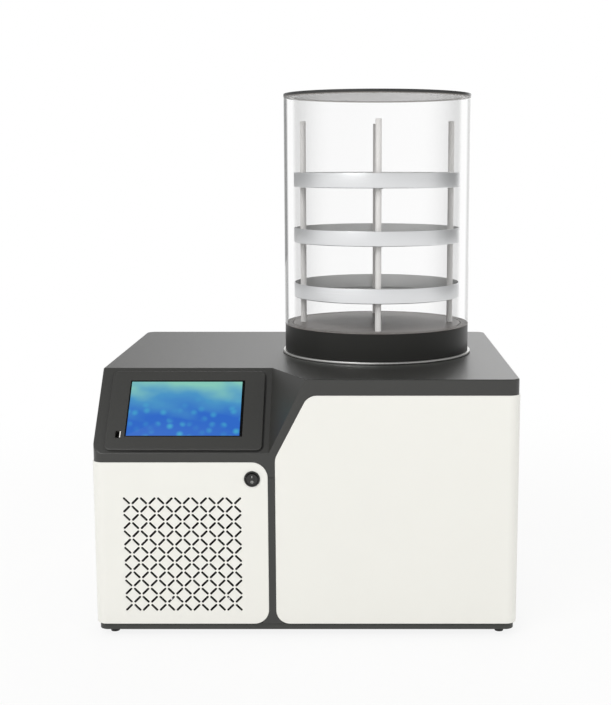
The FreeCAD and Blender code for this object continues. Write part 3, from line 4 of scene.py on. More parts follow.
import bpy
import numpy as np
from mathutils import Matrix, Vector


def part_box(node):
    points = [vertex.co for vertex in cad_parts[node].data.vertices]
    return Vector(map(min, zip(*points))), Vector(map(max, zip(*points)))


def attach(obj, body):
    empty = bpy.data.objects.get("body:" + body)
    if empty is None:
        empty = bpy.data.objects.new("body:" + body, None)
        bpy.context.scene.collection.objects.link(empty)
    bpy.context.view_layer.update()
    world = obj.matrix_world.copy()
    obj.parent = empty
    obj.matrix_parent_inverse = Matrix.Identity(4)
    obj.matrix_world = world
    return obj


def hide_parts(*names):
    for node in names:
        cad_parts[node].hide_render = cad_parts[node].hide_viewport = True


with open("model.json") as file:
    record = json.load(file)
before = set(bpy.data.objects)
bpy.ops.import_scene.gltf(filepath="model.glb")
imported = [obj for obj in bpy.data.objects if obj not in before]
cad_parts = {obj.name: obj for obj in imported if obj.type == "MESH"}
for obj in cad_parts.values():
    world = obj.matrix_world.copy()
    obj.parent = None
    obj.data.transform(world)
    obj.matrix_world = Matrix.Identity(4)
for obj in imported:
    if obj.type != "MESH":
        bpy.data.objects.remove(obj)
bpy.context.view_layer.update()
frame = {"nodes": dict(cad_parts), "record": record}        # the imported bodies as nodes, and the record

nodes = frame["nodes"]


def middleOf(node):
    low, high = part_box(node)
    return (low + high) / 2


def heights(node):
    low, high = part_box(node)
    return low.z, high.z


slope = math.radians(43.5)      # how far the console leans back


def slopeHalf(node, thick):
    # half the width and half the length along the slope of a slab that lies on it
    low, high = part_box(node)
    return np.array([high.x - low.x, (high.z - low.z - thick * math.sin(slope)) / math.cos(slope)]) / 2


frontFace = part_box("right_panel")[0].y
chamber = middleOf("chamber_cylinder")
print("frame loaded:", len(nodes), "nodes")


# camera, lamps, world and floor

view = {
    "reach": 1.6202,      # how far it stands in front of the front panel
    "aside": 0.0648,
    "height": 0.6459,
    "pitch": 81.32,
    "lens": 62.6,
    "shift": -0.0678,
}


def addCamera():
    data = bpy.data.cameras.new("camera")
    data.lens = view["lens"]
    data.shift_x = view["shift"]
    data.clip_end = 40
    camera = bpy.data.objects.new("camera", data)
    camera.location = (view["aside"], frontFace - view["reach"], view["height"])
    camera.rotation_euler = (math.radians(view["pitch"]), 0, 0)
    bpy.context.scene.collection.objects.link(camera)
    bpy.context.scene.camera = camera


# name: place, what it looks at, width, height, watts
lamps = {
    "key": ((-1.5, -2.3, 2.5), (0, 0, 0.35), 1.8, 1.8, 44),
    "fill": ((2.1, -1.9, 1.3), (0, 0, 0.35), 1.6, 1.8, 10),
    "back": ((0.3, 2.2, 2.3), (0, 0, 0.4), 2.2, 1.4, 22),
}


def addLamps():
    for name, (place, target, width, height, watts) in lamps.items():
        data = bpy.data.lights.new(name, "AREA")
        data.shape = "RECTANGLE"
        data.size = width
        data.size_y = height
        data.energy = watts
        lamp = bpy.data.objects.new(name, data)
        lamp.location = place
        aim = np.subtract(target, place)
        yaw = math.atan2(aim[1], aim[0]) - math.pi / 2
        tilt = math.acos(-aim[2] / np.linalg.norm(aim))
        lamp.rotation_euler = (tilt, 0, yaw)
        lamp.visible_glossy = name != "fill"
        bpy.context.scene.collection.objects.link(lamp)


class Flow:
    # one socket of a node tree; sums on it are written as plain Python and add Math nodes
    def __init__(self, tree, socket=None):
        self.tree = tree
        self.socket = socket

    # any node: its settings go first, then the values or links of its sockets
    def node(self, kind, settings=None, sockets=None, out=0):
        made = self.tree.nodes.new(kind)
        for key, value in (settings or {}).items():
            if key == "stops":
                fillRamp(made.color_ramp.elements, value)
            else:
                setattr(made, key, value)
        for key, value in (sockets or {}).items():
            if isinstance(value, Flow):
                self.tree.links.new(value.socket, made.inputs[key])
            else:
                made.inputs[key].default_value = value
        return Flow(self.tree, made.outputs[out])

    def sum(self, operation, first, second=0.0):
        return self.node("ShaderNodeMath", {"operation": operation}, {0: first, 1: second})

    def __add__(self, other):
        return self.sum("ADD", self, other)

    def __radd__(self, other):
        return self.sum("ADD", other, self)

    def __sub__(self, other):
        return self.sum("SUBTRACT", self, other)

    def __rsub__(self, other):
        return self.sum("SUBTRACT", other, self)

    def __mul__(self, other):
        return self.sum("MULTIPLY", self, other)

    def __rmul__(self, other):
        return self.sum("MULTIPLY", other, self)

    def __truediv__(self, other):
        return self.sum("DIVIDE", self, other)

    def __pow__(self, other):
        return self.sum("POWER", self, other)

    def __lt__(self, other):
        return self.sum("LESS_THAN", self, other)

    def __gt__(self, other):
        return self.sum("GREATER_THAN", self, other)

    def __abs__(self):
        return self.sum("ABSOLUTE", self)


def fillRamp(elements, stops):
    while len(elements) < len(stops):
        elements.new(1)
    for element, (place, value) in zip(elements, stops):
        element.position = place
        element.color = value if isinstance(value, tuple) else (value, value, value, 1)


def tint(code):
    # the linear colour of a screen colour written as six hexadecimal digits
    parts = np.array([int(code[i:i + 2], 16) for i in (0, 2, 4)]) / 255
    linear = np.where(parts <= 0.04045, parts / 12.92, ((parts + 0.055) / 1.055) ** 2.4)
    return (*linear.tolist(), 1)


def rays(start, *names):
    # 1 for the rays of these kinds
    path = start.node("ShaderNodeLightPath").socket.node
    picked = [Flow(start.tree, path.outputs[name]) for name in names]
    return picked[0] if len(picked) == 1 else picked[0].sum("MAXIMUM", picked[0], rays(start, *names[1:]))


def mapped(start, value, low, high, first, last):
    # a value eased from first to last while it goes from low to high
    return start.node("ShaderNodeMapRange", {"interpolation_type": "SMOOTHSTEP"}, {
        "Value": value, "From Min": low, "From Max": high, "To Min": first, "To Max": last})


def parted(start, vector):
    # the three parts of a vector
    split = start.node("ShaderNodeSeparateXYZ", None, {0: vector}).socket.node
    return [Flow(start.tree, split.outputs[i]) for i in range(3)]


studio = {
    "fill": 0.62,          # what the white room adds to the lamps
    "ceiling": 0.2,        # how bright gloss shows the ceiling
    "front": 0.94,         # the wall in front
    "back": 0.44,          # the wall behind
    "lean": 0.1,           # how much darker the walls are on the right than in the middle
    "window": 1.3,         # what a window adds to the wall behind
    "windowAt": 0.22,      # how far to the right it lies
    "windowHalf": 0.55,
    "floor": "EDEDEB",
    "floorRough": 0.9,
    "floorLift": 0.87,      # how much of the floor by the object shows as backdrop
    "fadeFrom": 0.45,
    "fadeTo": 1.5,
    "floorHalf": 6.0,
}


def addWorld():
    # the camera and clear plastic see plain white; gloss sees pale walls under a darker ceiling
    world = bpy.data.worlds.new("studio")
    world.use_nodes = True
    tree = world.node_tree
    start = Flow(tree)
    x, y, z = parted(start, start.node("ShaderNodeTexCoord", out="Generated"))
    turn = mapped(start, y, -0.35, 0.55, studio["front"], studio["back"])
    off = abs(x - studio["windowAt"]) / studio["windowHalf"]
    wall = turn - studio["lean"] * x + studio["window"] * mapped(start, off, 0.0, 1.0, 1.0, 0.0) * (y > 0)
    room = studio["ceiling"] + (wall - studio["ceiling"]) * (1 - z * z) ** 2
    shown = rays(start, "Is Camera Ray", "Is Transmission Ray")
    gloss = rays(start, "Is Glossy Ray")
    strength = shown + (1 - shown) * (studio["fill"] + gloss * (room - studio["fill"]))
    shader = tree.nodes["Background"]
    shader.inputs["Color"].default_value = (1, 1, 1, 1)
    tree.links.new(strength.socket, shader.inputs["Strength"])
    bpy.context.scene.world = world


def addFloor():
    half = studio["floorHalf"]
    mesh = bpy.data.meshes.new("floor")
    corners = [(-half, -half, 0), (half, -half, 0), (half, half, 0), (-half, half, 0)]
    mesh.from_pydata(corners, [], [(0, 1, 2, 3)])
    floor = bpy.data.objects.new("floor", mesh)
    bpy.context.scene.collection.objects.link(floor)
    material = bpy.data.materials.new("floor")
    material.use_nodes = True
    tree = material.node_tree
    start = Flow(tree)
    place = start.node("ShaderNodeTexCoord", out="Object")
    away = start.node("ShaderNodeVectorMath", {"operation": "LENGTH"}, {0: place}, out="Value")
    fade = mapped(start, away, studio["fadeFrom"], studio["fadeTo"], studio["floorLift"], 1.0)
    paper = tree.nodes["Principled BSDF"]
    paper.inputs["Base Color"].default_value = tint(studio["floor"])
    paper.inputs["Roughness"].default_value = studio["floorRough"]
    glow = start.node("ShaderNodeEmission", None, {"Color": (1, 1, 1, 1), "Strength": 1.0})
    shown = rays(start, "Is Camera Ray", "Is Transmission Ray", "Is Glossy Ray")
    mixed = start.node("ShaderNodeMixShader", None, {
        0: shown * fade, 1: Flow(tree, paper.outputs[0]), 2: glow})
    tree.links.new(mixed.socket, tree.nodes["Material Output"].inputs["Surface"])
    mesh.materials.append(material)


addCamera()
addLamps()
addWorld()
addFloor()
bpy.context.scene.view_settings.view_transform = "Standard"
print("camera, lamps and floor placed")


# finishes

def paint(name, recipe, fixed):
    # the recipe gives what changes over the surface; fixed values go straight on the shader
    material = bpy.data.materials.new(name)
    material.use_nodes = True
    tree = material.node_tree
    shader = tree.nodes["Principled BSDF"]
    for socket, value in fixed.items():
        shader.inputs[socket].default_value = value
    for socket, flow in recipe(Flow(tree)).items():
        tree.links.new(flow.socket, shader.inputs[socket])
    return material


def placeOf(start, centre=(0, 0, 0), scale=(1, 1, 1)):
    # Object coordinates, moved to a centre and stretched
    place = start.node("ShaderNodeTexCoord", out="Object")
    moved = start.node("ShaderNodeVectorMath", {"operation": "SUBTRACT"}, {0: place, 1: tuple(centre)})
    return start.node("ShaderNodeVectorMath", {"operation": "MULTIPLY"}, {0: moved, 1: tuple(scale)})


def noise(start, vector, scale, detail=2.0):
    return start.node("ShaderNodeTexNoise", None, {"Vector": vector, "Scale": scale, "Detail": detail})


def blendOf(start, amount, first, second):
    # a colour between two colours
    return start.node("ShaderNodeMix", {"data_type": "RGBA"}, {0: amount, 6: first, 7: second}, out=2)


def relief(start, height, depth, strength=1.0):
    return start.node("ShaderNodeBump", None, {"Height": height, "Distance": depth, "Strength": strength})


def coated(code, other, grain, depth, low, high):
    # a coat or moulded skin: two near shades drifting, a fine grain, and gloss between low and high
    def recipe(start):
        place = placeOf(start)
        drift = noise(start, place, 5)
        speck = noise(start, place, grain, 3)
        return {
            "Base Color": blendOf(start, drift, tint(code), tint(other)),
            "Roughness": low + (high - low) * speck,
            "Normal": relief(start, speck, depth),
        }
    return recipe


def brushed(code, other, scale, depth, low, high):
    # drawn or brushed metal: hair lines run where the scale is small and cross where it is large
    def recipe(start):
        place = placeOf(start, scale=scale)
        hair = noise(start, place, 1, 3)
        drift = noise(start, placeOf(start), 9)
        return {
            "Base Color": blendOf(start, hair * 0.6 + drift * 0.4, tint(code), tint(other)),
            "Roughness": low + (high - low) * hair,
            "Normal": relief(start, hair, depth),
        }
    return recipe


def fromAxis(start):
    # how far a point lies from the chamber's upright axis
    flat = placeOf(start, chamber, (1, 1, 0))
    return start.node("ShaderNodeVectorMath", {"operation": "LENGTH"}, {0: flat}, out="Value")


# slot: two near colours, how fine the grain is, its depth, the least and the most roughness
coats = {
    "dark_shell": ("353533", "3A3A38", 1500, 0.00004, 0.30, 0.40),
    "dark_steel": ("343532", "3A3B38", 1100, 0.00008, 0.42, 0.55),
    "white_sheet": ("F4F3ED", "F1F0EA", 420, 0.00003, 0.30, 0.38),
    "circuit_board": ("0E4A2A", "125A33", 500, 0.00003, 0.25, 0.4),
    "switch_black": ("171614", "1B1A18", 900, 0.00002, 0.22, 0.3),
    "collar_black": ("262624", "2A2A28", 1300, 0.00003, 0.34, 0.42),
    "floor_dark": ("8A8582", "8E8986", 160, 0.00002, 0.36, 0.42),
    "foam": ("D8CDA0", "CDBF8E", 350, 0.0004, 0.8, 0.9),
    "compressor_black": ("141414", "1C1C1C", 500, 0.00006, 0.28, 0.4),
    "rubber_black": ("151515", "1C1C1B", 1200, 0.00006, 0.6, 0.75),
    "fin_black": ("2C2C2B", "323231", 600, 0.00003, 0.45, 0.6),
    "fan_plastic": ("121212", "181818", 800, 0.00004, 0.35, 0.45),
    "hose_clear": ("C4C4BE", "D0D0CA", 300, 0.00003, 0.35, 0.45),
    "lever_blue": ("1E4C93", "235399", 600, 0.00004, 0.3, 0.42),
}
shine = {"collar_black": 0.2, "floor_dark": 0.1}      # duller than the shader's own 0.5

around = (6, 6, 2600)       # hair lines round an upright drum
across = (10, 1400, 10)     # hair lines from left to right on a flat plate

# slot: two near colours, how fine the hair lines are along each axis, their depth, the least and most roughness
metals = {
    "zinc_steel": ("A8A9AA", "C2C2C0", (40, 40, 900), 0.00003, 0.3, 0.45),
    "display_case": ("9A9B9C", "B4B4B2", across, 0.00003, 0.3, 0.4),
    "stainless": ("BEBFBF", "D2D2D0", around, 0.00004, 0.26, 0.4),
    "copper": ("B97A55", "A8694A", (300, 300, 300), 0.00003, 0.25, 0.4),
    "brass_plain": ("C9A55E", "B8924C", (900, 60, 900), 0.00003, 0.22, 0.36),
}


# the glass cylinder is nearly unseen face on and shows at its two sides through painted shade: a grey haze
# where the inner wall turns away and a grey outline, standing in for what refraction shows there

glass = {
    "wall": 0.010,
    "clear": 0.015,        # how much of it shows face on
    "innerEdge": 0.17,     # and where the inner wall turns away
    "outerEdge": 0.9,      # and at the left outline
    "rightShare": 0.3,     # how much of that is left at the right outline
    "shareOver": 0.05,     # over this far to each side of the axis the outline goes from left to right share
    "ends": 0.001,         # how far from its ends it shows no outline
    "innerTurn": (0.12, 0.62),      # how far turned away the inner wall starts and ends darkening
    "innerGone": (0.64, 0.80),      # and where it gives way to a clear band beside the outline
    "outerTurn": (0.70, 0.80),      # where the outer wall's outline starts and is full
    "colour": "858787",
}


def clearWall(start):
    facing = start.node("ShaderNodeLayerWeight", None, {"Blend": 0.5}, out="Facing")
    x, _, z = parted(start, start.node("ShaderNodeTexCoord", out="Object"))
    low, high = heights("chamber_cylinder")
    wall = (z > low + glass["ends"]) * (z < high - glass["ends"])
    inner = fromAxis(start) < (chamberRadius - glass["wall"] / 2)
    gone = mapped(start, facing, *glass["innerGone"], 1.0, 0.0)
    innerShade = mapped(start, facing, *glass["innerTurn"], glass["clear"], glass["innerEdge"]) * gone
    over = glass["shareOver"]
    # painted shade: the outline is stronger at the left than at the right, as the lamps fall from the left
    leftShadeShare = mapped(start, x, chamber.x - over, chamber.x + over, 1.0, glass["rightShare"])
    line = mapped(start, facing, *glass["outerTurn"], glass["clear"], glass["outerEdge"]) * leftShadeShare
    return {"Alpha": wall * (inner * innerShade + (1 - inner) * line)}


# a lit picture of my own on the screen: pale light over deep water, with slow waves and a few drops

screen = {
    "thick": 0.0016,
    "start": (0.0017, 0.0012),              # how far the lit picture stays inside the glass at each corner
    "end": (0.0036, 0.0020),
    "corner": 0.0015, "soft": 0.0004,
    "top": "86C8B8", "middle": "4A93C5", "low": "3069C6", "drop": "4FBFD0",
    "swell": 0.45,         # how far slow bends and finer waves shift the colours up and down
    "wave": 0.12,
    "drops": 5.5,          # how closely the drops lie
    "dropShare": 0.6,      # how strongly they show
    "dropHalf": (0.02, 0.42),
    "stretch": (1.75, 1, 0),
    "edge": "0D0E0F", "behind": "050608",
}


def screenPicture(start):
    spot = start.node("ShaderNodeUVMap", {"uv_map": "screen"})
    across, up = parted(start, spot)[:2]
    bend = noise(start, spot, 2.2, 3)
    wave = start.node("ShaderNodeTexWave", {"wave_type": "BANDS", "bands_direction": "DIAGONAL"}, {
        "Vector": spot, "Scale": 1.1, "Distortion": 7.0, "Detail": 2.0, "Detail Scale": 1.4}, out="Fac")
    level = up + screen["swell"] * (bend - 0.5) + screen["wave"] * (wave - 0.5)
    sea = start.node("ShaderNodeValToRGB", {"stops": [
        (0.0, tint(screen["low"])), (0.30, tint(screen["low"])), (0.68, tint(screen["middle"])),
        (1.0, tint(screen["top"]))]}, {0: level})
    stretched = start.node("ShaderNodeVectorMath", {"operation": "MULTIPLY"}, {0: spot, 1: screen["stretch"]})
    drops = start.node("ShaderNodeTexVoronoi", {"voronoi_dimensions": "2D"}, {
        "Vector": stretched, "Scale": screen["drops"]}, out="Distance")
    patch = mapped(start, noise(start, stretched, 2.1, 1), 0.40, 0.56, 0.15, 1.0)
    lower = mapped(start, up, 0.20, 0.80, 1.0, 0.0)
    drop = mapped(start, drops, *screen["dropHalf"], screen["dropShare"], 0.0) * patch * lower
    picture = blendOf(start, drop, sea, tint(screen["drop"]))
    inside = (abs(across - 0.5) < 0.5) * (abs(up - 0.5) < 0.5)
    return {
        "Emission Color": blendOf(start, inside, tint("000000"), picture),
        "Base Color": blendOf(start, inside, tint(screen["edge"]), tint(screen["behind"])),
    }


# the rocker's two marks, a bar over a ring

marks = {
    "coat": ("211F1E", "252422", 900, 0.00002, 0.22, 0.3),
    "lift": 0.0032,        # how far the bar's middle lies over the rocker's, and the ring's under it
    "drop": 0.0041,
    "bar": (0.00045, 0.0015),
    "ring": 0.0014,
    "line": 0.00035,
    "colour": "B9B9B6",
}


def markedRocker(start):
    x, _, z = parted(start, start.node("ShaderNodeTexCoord", out="Object"))
    middle = middleOf("power_switch_housing")
    bar = (abs(x - middle.x) < marks["bar"][0]) * (abs(z - middle.z - marks["lift"]) < marks["bar"][1])
    away = ((x - middle.x) ** 2 + (z - middle.z + marks["drop"]) ** 2) ** 0.5
    ring = abs(away - marks["ring"]) < marks["line"]
    base = coated(*marks["coat"])(start)
    mark = bar.sum("MAXIMUM", bar, ring)
    base["Base Color"] = blendOf(start, mark, base["Base Color"], tint(marks["colour"]))
    return base


# a socket with a pale tongue beside its dark mouth, whose near-black colour is painted shade in the opening

socket = {"half": (0.0035, 0.0049), "tongue": 0.0008, "frame": "2C2A29", "dark": "120E0C", "pale": "F6F4EF"}


def onSlope(start, node):
    # how far a point lies from the node's middle, across and along the console's slope
    x, y, z = parted(start, placeOf(start, middleOf(node)))
    return x, y * math.sin(slope) + z * math.cos(slope)


def socketMouth(start):
    x, along = onSlope(start, "usb_port")
    mouth = (abs(x) < socket["half"][0]) * (abs(along) < socket["half"][1])
    inside = blendOf(start, x > socket["tongue"], tint(socket["dark"]), tint(socket["pale"]))
    return {"Base Color": blendOf(start, mouth, tint(socket["frame"]), inside)}


# the cover carries a painted shadow in a band under the lower and right edges of the bezel

bezel = {"wall": 0.0035, "corner": 0.008, "gap": 0.003, "dark": "1E1E1D"}


def coverSkin(start):
    base = coated(*coats["dark_shell"])(start)
    half = slopeHalf("console_bezel", bezel["wall"])
    x, along = onSlope(start, "console_bezel")
    past = [side.sum("MAXIMUM", side, 0.0) for side in (
        abs(x) - float(half[0] - bezel["corner"]), abs(along) - float(half[1] - bezel["corner"]))]
    away = (past[0] ** 2 + past[1] ** 2) ** 0.5 - bezel["corner"]
    # painted shadow: strongest under the lower and right edges, away from the lamps at the upper left
    lower = mapped(start, x / float(half[0]) - along / float(half[1]), -0.2, 0.5, 0.0, 1.0)
    gap = (away > 0) * mapped(start, away, bezel["gap"] * 0.6, bezel["gap"], 1.0, 0.0) * lower
    base["Base Color"] = blendOf(start, gap, base["Base Color"], tint(bezel["dark"]))
    return base


# the white front panel carries painted shade on the walls of its vent slots

vent = {"left": -0.236, "right": -0.088, "low": 0.03, "high": 0.212, "behind": 0.0002, "cut": "3E3D3A"}


def ventedSheet(start):
    base = coated(*coats["white_sheet"])(start)
    x, y, z = parted(start, start.node("ShaderNodeTexCoord", out="Object"))
    middle = ((vent["left"] + vent["right"]) / 2, (vent["low"] + vent["high"]) / 2)
    half = ((vent["right"] - vent["left"]) / 2, (vent["high"] - vent["low"]) / 2)
    cut = (abs(x - middle[0]) < half[0]) * (abs(z - middle[1]) < half[1]) * (y > frontFace + vent["behind"])
    base["Base Color"] = blendOf(start, cut, base["Base Color"], tint(vent["cut"]))
    return base


# the trays carry painted shade inside: they are brighter outside than inside, with hair lines round them

tray = {
    "wall": 0.001, "bend": 0.0012, "bead": 0.0005,
    "hub": 0.4,                 # the share of the radius at which the flat floor's fans end
    "inside": "CCCCCB", "outside": "F1F2F3", "hair": "BFC0C1",
    "hairShare": 0.35,
    "rough": (0.24, 0.16),      # the least, and how much the hair lines add
}


def trayMetal(start):
    lines = noise(start, placeOf(start, chamber, (3, 3, 2400)), 1, 3)
    outside = fromAxis(start) > trayRadius - 0.0005
    paintedShade = blendOf(start, outside, tint(tray["inside"]), tint(tray["outside"]))
    return {
        "Base Color": blendOf(start, lines * tray["hairShare"], paintedShade, tint(tray["hair"])),
        "Roughness": tray["rough"][0] + tray["rough"][1] * lines,
        "Normal": relief(start, lines, 0.00003),
    }


# the lid is dark on its edge and top, and pale grey below

lid = {"radius": 0.1413, "edge": 0.0008, "band": 0.0004, "dark": "2B2B2A", "below": "86827E"}


def lidSkin(start):
    place = start.node("ShaderNodeTexCoord", out="Object")
    below = parted(start, place)[2] < lidFoot + lid["band"]
    speck = noise(start, place, 700, 3)
    return {
        "Base Color": blendOf(start, below, tint(lid["dark"]), tint(lid["below"])),
        "Roughness": 0.22 + 0.08 * speck,
    }


# the upper gasket has the lid's pale grey, and its bore carries painted light: it glows a little to stand out
# less in the shade under the lid

gasket = {"colour": "8A8682", "other": "8E8A86", "glow": "B3AFAC", "strength": 0.5}


def sealSkin(start):
    bore = fromAxis(start) < (chamberRadius - glass["wall"])
    speck = noise(start, placeOf(start), 300, 3)
    return {
        "Base Color": blendOf(start, speck, tint(gasket["colour"]), tint(gasket["other"])),
        "Roughness": 0.24 + 0.06 * speck,
        "Emission Color": blendOf(start, bore, tint("000000"), tint(gasket["glow"])),
    }


metal = {"Metallic": 1.0}
chamberRadius = (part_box("chamber_cylinder")[1].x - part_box("chamber_cylinder")[0].x) / 2
trayRadius = (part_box("tray_top")[1].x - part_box("tray_top")[0].x) / 2
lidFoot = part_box("upper_seal")[1].z


def camel(name):
    first, *rest = name.split("_")
    return first + "".join(word.capitalize() for word in rest)


finishes = {name: paint(camel(name), coated(*row), {"Specular IOR Level": shine.get(name, 0.5)})
            for name, row in coats.items()}
finishes |= {name: paint(camel(name), brushed(*row), metal) for name, row in metals.items()}
finishes |= {
    "touch_glass": paint("touchGlass", screenPicture, {
        "Roughness": 0.25, "Specular IOR Level": 0.08, "Emission Strength": 1.0}),
    "seal_grey": paint("sealGrey", sealSkin, {"Emission Strength": gasket["strength"]}),
    "lid_dark": paint("lidDark", lidSkin, {}),
    "clear_acrylic": paint("clearAcrylic", clearWall, {"Base Color": tint(glass["colour"]), "Roughness": 0.05}),
}
# these take the place of a slot's own finish on one node or one kind of piece
special = {
    "lower_seal": finishes["floor_dark"],
    "power_rocker": paint("markedRocker", markedRocker, {}),
    "usb_port": paint("socketMouth", socketMouth, {"Roughness": 0.35}),
    "left_panel": paint("ventedSheet", ventedSheet, {}),
    "top_cover": paint("coverSkin", coverSkin, {}),
    "tray": paint("trayMetal", trayMetal, metal),
    # painted light: the rods glow faintly in their own colour
    "rod": paint("rodMetal", brushed("DAD8D6", "E2E0DE", (700, 700, 5), 0.00001, 0.42, 0.5), {
        "Emission Color": tint("E2E0DE"), "Emission Strength": 0.1}),       # a faint glow keeps the rods pale
    "trap_flange": paint("satinTrap", brushed("C4C4C2", "CCCCC9", around, 0.00003, 0.35, 0.45), metal),
}
print("finishes:", len(finishes) + len(special))


# pieces turned about the chamber's axis

def turnedMesh(name, profile, centre, steps=192, loop=True):
    # point (u, v): the profile's radius and height at v, carried to the angle u round an upright axis;
    # a profile that is no loop starts and ends beside the axis and is closed there by two fans
    profile = np.asarray(profile, float)
    count = len(profile)
    angle = np.linspace(0, 2 * np.pi, steps, endpoint=False)
    points = np.empty((steps, count, 3))
    points[..., 0] = centre[0] + np.cos(angle)[:, None] * profile[:, 0]
    points[..., 1] = centre[1] + np.sin(angle)[:, None] * profile[:, 0]
    points[..., 2] = profile[:, 1]
    u, v = np.meshgrid(np.arange(steps), np.arange(count if loop else count - 1), indexing="ij")
    nextU, nextV = (u + 1) % steps, (v + 1) % count
    faces = np.stack([u * count + v, nextU * count + v, nextU * count + nextV, u * count + nextV],
                     axis=-1).reshape(-1, 4).tolist()
    points = points.reshape(-1, 3)
    if not loop:
        poles = np.array([(centre[0], centre[1], profile[0, 1]), (centre[0], centre[1], profile[-1, 1])])
        ring = np.arange(steps)
        after = (ring + 1) % steps
        low, high = len(points), len(points) + 1
        points = np.vstack([points, poles])
        faces += np.stack([np.full(steps, low), after * count, ring * count], axis=1).tolist()
        last = ring * count + count - 1
        faces += np.stack([np.full(steps, high), last, after * count + count - 1], axis=1).tolist()
    mesh = bpy.data.meshes.new(name)
    mesh.from_pydata(points.tolist(), [], faces)
    return mesh


smoothing = {"angle": 30, "weld": 0.00001, "edge": 0.0003, "weight": 90}


def roundEdges(piece, width, segments=3):
    edge = piece.modifiers.new("edge", "BEVEL")
    edge.width = width
    edge.segments = segments
    edge.limit_method = "ANGLE"
    edge.angle_limit = math.radians(smoothing["angle"])


def evenOut(piece):
    # wide faces decide how the corners beside them are shaded
    even = piece.modifiers.new("even", "WEIGHTED_NORMAL")
    even.weight = smoothing["weight"]


def settle(mesh, slotName, stands, edge, finish=None):
    # the finished piece: smooth, finished, riding on the cabinet in place of its CAD nodes
    piece = bpy.data.objects.new(mesh.name, mesh)
    bpy.context.scene.collection.objects.link(piece)
    mesh.polygons.foreach_set("use_smooth", np.ones(len(mesh.polygons), bool))
    mesh.materials.append(finish or finishes[slotName])
    if edge:
        roundEdges(piece, edge)
        evenOut(piece)
    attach(piece, "cabinet")
    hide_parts(*stands)
    return piece


def hoop(inner, outer, low, high):
    return [(inner, low), (outer, low), (outer, high), (inner, high)]


collar = {"bore": 0.130, "radius": 0.1407, "edge": 0.0012}
ringEdges = {"glass": 0.0006, "gasket": 0.0003}


def makeChamber():
    low, high = heights("chamber_collar")
    bore = collar["bore"]
    settle(turnedMesh("collar", hoop(bore, collar["radius"], low, high), chamber),
           "collar_black", ["chamber_collar"], collar["edge"])
    for side in ("lower", "upper"):
        low, high = heights(f"{side}_seal")
        settle(turnedMesh(f"{side}Seal", hoop(bore, chamberRadius, low, high), chamber),
               "seal_grey", [f"{side}_seal"], ringEdges["gasket"], special.get(f"{side}_seal"))
    low, high = heights("chamber_cylinder")
    settle(turnedMesh("glass", hoop(chamberRadius - glass["wall"], chamberRadius, low, high), chamber, 256),
           "clear_acrylic", ["chamber_cylinder"], ringEdges["glass"])
    low, high = heights("chamber_lid")
    rim = lid["radius"]
    settle(turnedMesh("lid", [(rim / 2, low), (rim, low), (rim, high), (rim / 2, high)], chamber, 256, False),
           "lid_dark", ["chamber_lid"], lid["edge"])


def makeTrays():
    # a pressed pan: its floor turns up through a quarter round into the rim, which ends in a small rolled bead
    wall, bend, bead = tray["wall"], tray["bend"], tray["bead"]
    turn = np.linspace(-np.pi / 2, 0, 7)
    roll = np.linspace(0, np.pi, 9)
    for level in ("bottom", "middle", "top"):
        low, high = heights(f"tray_{level}")
        outer = np.stack([trayRadius - bend + bend * np.cos(turn), low + bend + bend * np.sin(turn)], axis=1)
        top = np.stack([trayRadius - wall / 2 + bead * np.cos(roll), high - bead + bead * np.sin(roll)], axis=1)
        inner = np.stack([trayRadius - bend + (bend - wall) * np.cos(turn[::-1]),
                          low + bend + (bend - wall) * np.sin(turn[::-1])], axis=1)
        hub = trayRadius * tray["hub"]
        profile = np.vstack([[(hub, low)], outer, top, inner, [(hub, low + wall)]])
        settle(turnedMesh(f"{level}Tray", profile, chamber, 192, False), "stainless", [f"tray_{level}"], 0,
               special["tray"])


rod = {"radius": 0.0045, "tip": 0.0008, "foot": 0.0065}


def makeRods():
    # each rod is wider up to the floor that its shoulder carries
    radius, tip, foot = rod["radius"], rod["tip"], rod["foot"]
    shoulder = heights("rack_floor")[0]
    for side in ("right", "rear", "left", "front"):
        low, high = heights(f"rack_rod_{side}")
        turn = np.linspace(0, np.pi / 2, 5)
        end = np.stack([radius - tip + tip * np.cos(turn), high - tip + tip * np.sin(turn)], axis=1)
        profile = np.vstack([[(foot, low), (foot, shoulder), (radius, shoulder)], end])
        settle(turnedMesh(f"{side}Rod", profile, middleOf(f"rack_rod_{side}"), 40, False),
               "stainless", [f"rack_rod_{side}"], 0, special["rod"])


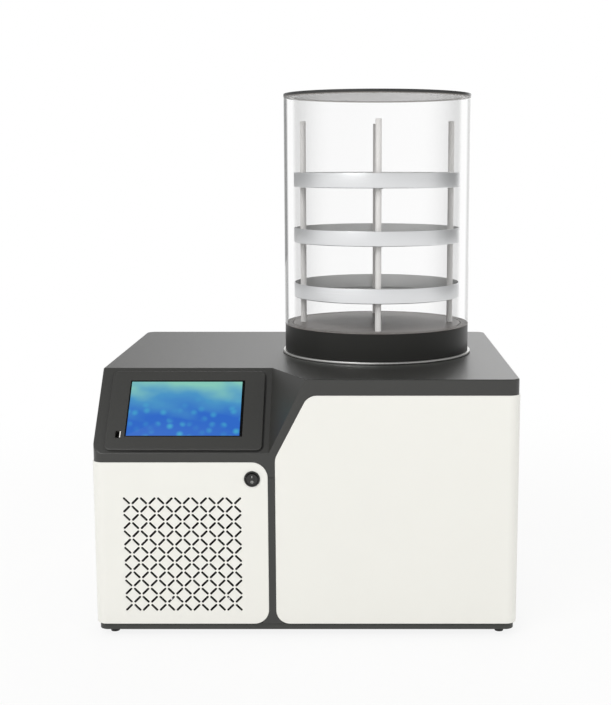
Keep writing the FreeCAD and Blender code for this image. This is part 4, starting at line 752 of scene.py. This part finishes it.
def makeScreen():
    # a thin slab on the sloping console; point (u, v): the outline of a rounded rectangle at u, drawn in at v
    corner, thick = screen["corner"], screen["thick"]
    half = slopeHalf("touch_glass", thick)
    angle = np.linspace(0, 2 * np.pi, 48, endpoint=False) + np.pi / 48
    turn = np.stack([np.cos(angle), np.sin(angle)], axis=1)
    core = np.sign(turn) * (half - corner)
    soft = screen["soft"]
    face = thick / 2
    grow, rise = np.array([(0, -face), (0, face - soft), (-soft * 0.3, face - soft * 0.3), (-soft, face)]).T
    flat = core + turn * (corner + grow[:, None, None])
    right = np.array([1.0, 0, 0])
    upward = np.array([0, math.sin(slope), math.cos(slope)])
    outward = np.array([0, -math.cos(slope), math.sin(slope)])
    middle = np.array(middleOf("touch_glass"))
    flat = np.vstack([flat.reshape(-1, 2), [(0, 0), (0, 0)]])
    rise = np.append(np.repeat(rise, len(angle)), [-face, face])
    points = middle + flat[:, :1] * right + flat[:, 1:] * upward + rise[:, None] * outward
    n = len(angle)
    v, u = np.meshgrid(np.arange(len(grow) - 1), np.arange(n), indexing="ij")
    after = (u + 1) % n
    faces = np.stack([v * n + u, v * n + after, (v + 1) * n + after, (v + 1) * n + u],
                     axis=-1).reshape(-1, 4).tolist()
    ring, last = np.arange(n), (len(grow) - 1) * n
    after = (ring + 1) % n
    faces += np.stack([np.full(n, len(points) - 2), after, ring], axis=1).tolist()
    faces += np.stack([np.full(n, len(points) - 1), last + ring, last + after], axis=1).tolist()
    mesh = bpy.data.meshes.new("screen")
    mesh.from_pydata(points.tolist(), [], faces)
    spots = mesh.uv_layers.new(name="screen")
    corners = np.empty(len(mesh.loops), np.int32)
    mesh.loops.foreach_get("vertex_index", corners)
    start, end = screen["start"] - half, half - screen["end"]
    spots.data.foreach_set("uv", ((flat - start) / (end - start))[corners].ravel())
    settle(mesh, "touch_glass", ["touch_glass"], 0)


makeChamber()
makeTrays()
makeRods()
makeScreen()
print("chamber, rack and screen made")


sharpSlots = {"circuit_board", "foam", "copper", "fin_black"}
splitNodes = {"rear_panel"}      # a wide flat sheet with small holes, whose corners stay crisp


def dress(part):
    # the node's finish, with its loose triangles shaded as one skin
    piece = nodes[part["node"]]
    finish = special.get(part["node"], finishes[part["material_slot"]])
    for index in range(len(piece.material_slots)):
        piece.material_slots[index].material = finish
    if not piece.material_slots:
        piece.data.materials.append(finish)
    piece.data.polygons.foreach_set("use_smooth", np.ones(len(piece.data.polygons), bool))
    weld = piece.modifiers.new("weld", "WELD")
    weld.merge_threshold = smoothing["weld"]
    if part["node"] in splitNodes:
        split = piece.modifiers.new("split", "EDGE_SPLIT")
        split.split_angle = math.radians(smoothing["angle"])
    elif part["material_slot"] not in sharpSlots:
        roundEdges(piece, smoothing["edge"], 2)
    evenOut(piece)


for part in frame["record"]["subparts"]:
    dress(part)
print("nodes dressed")
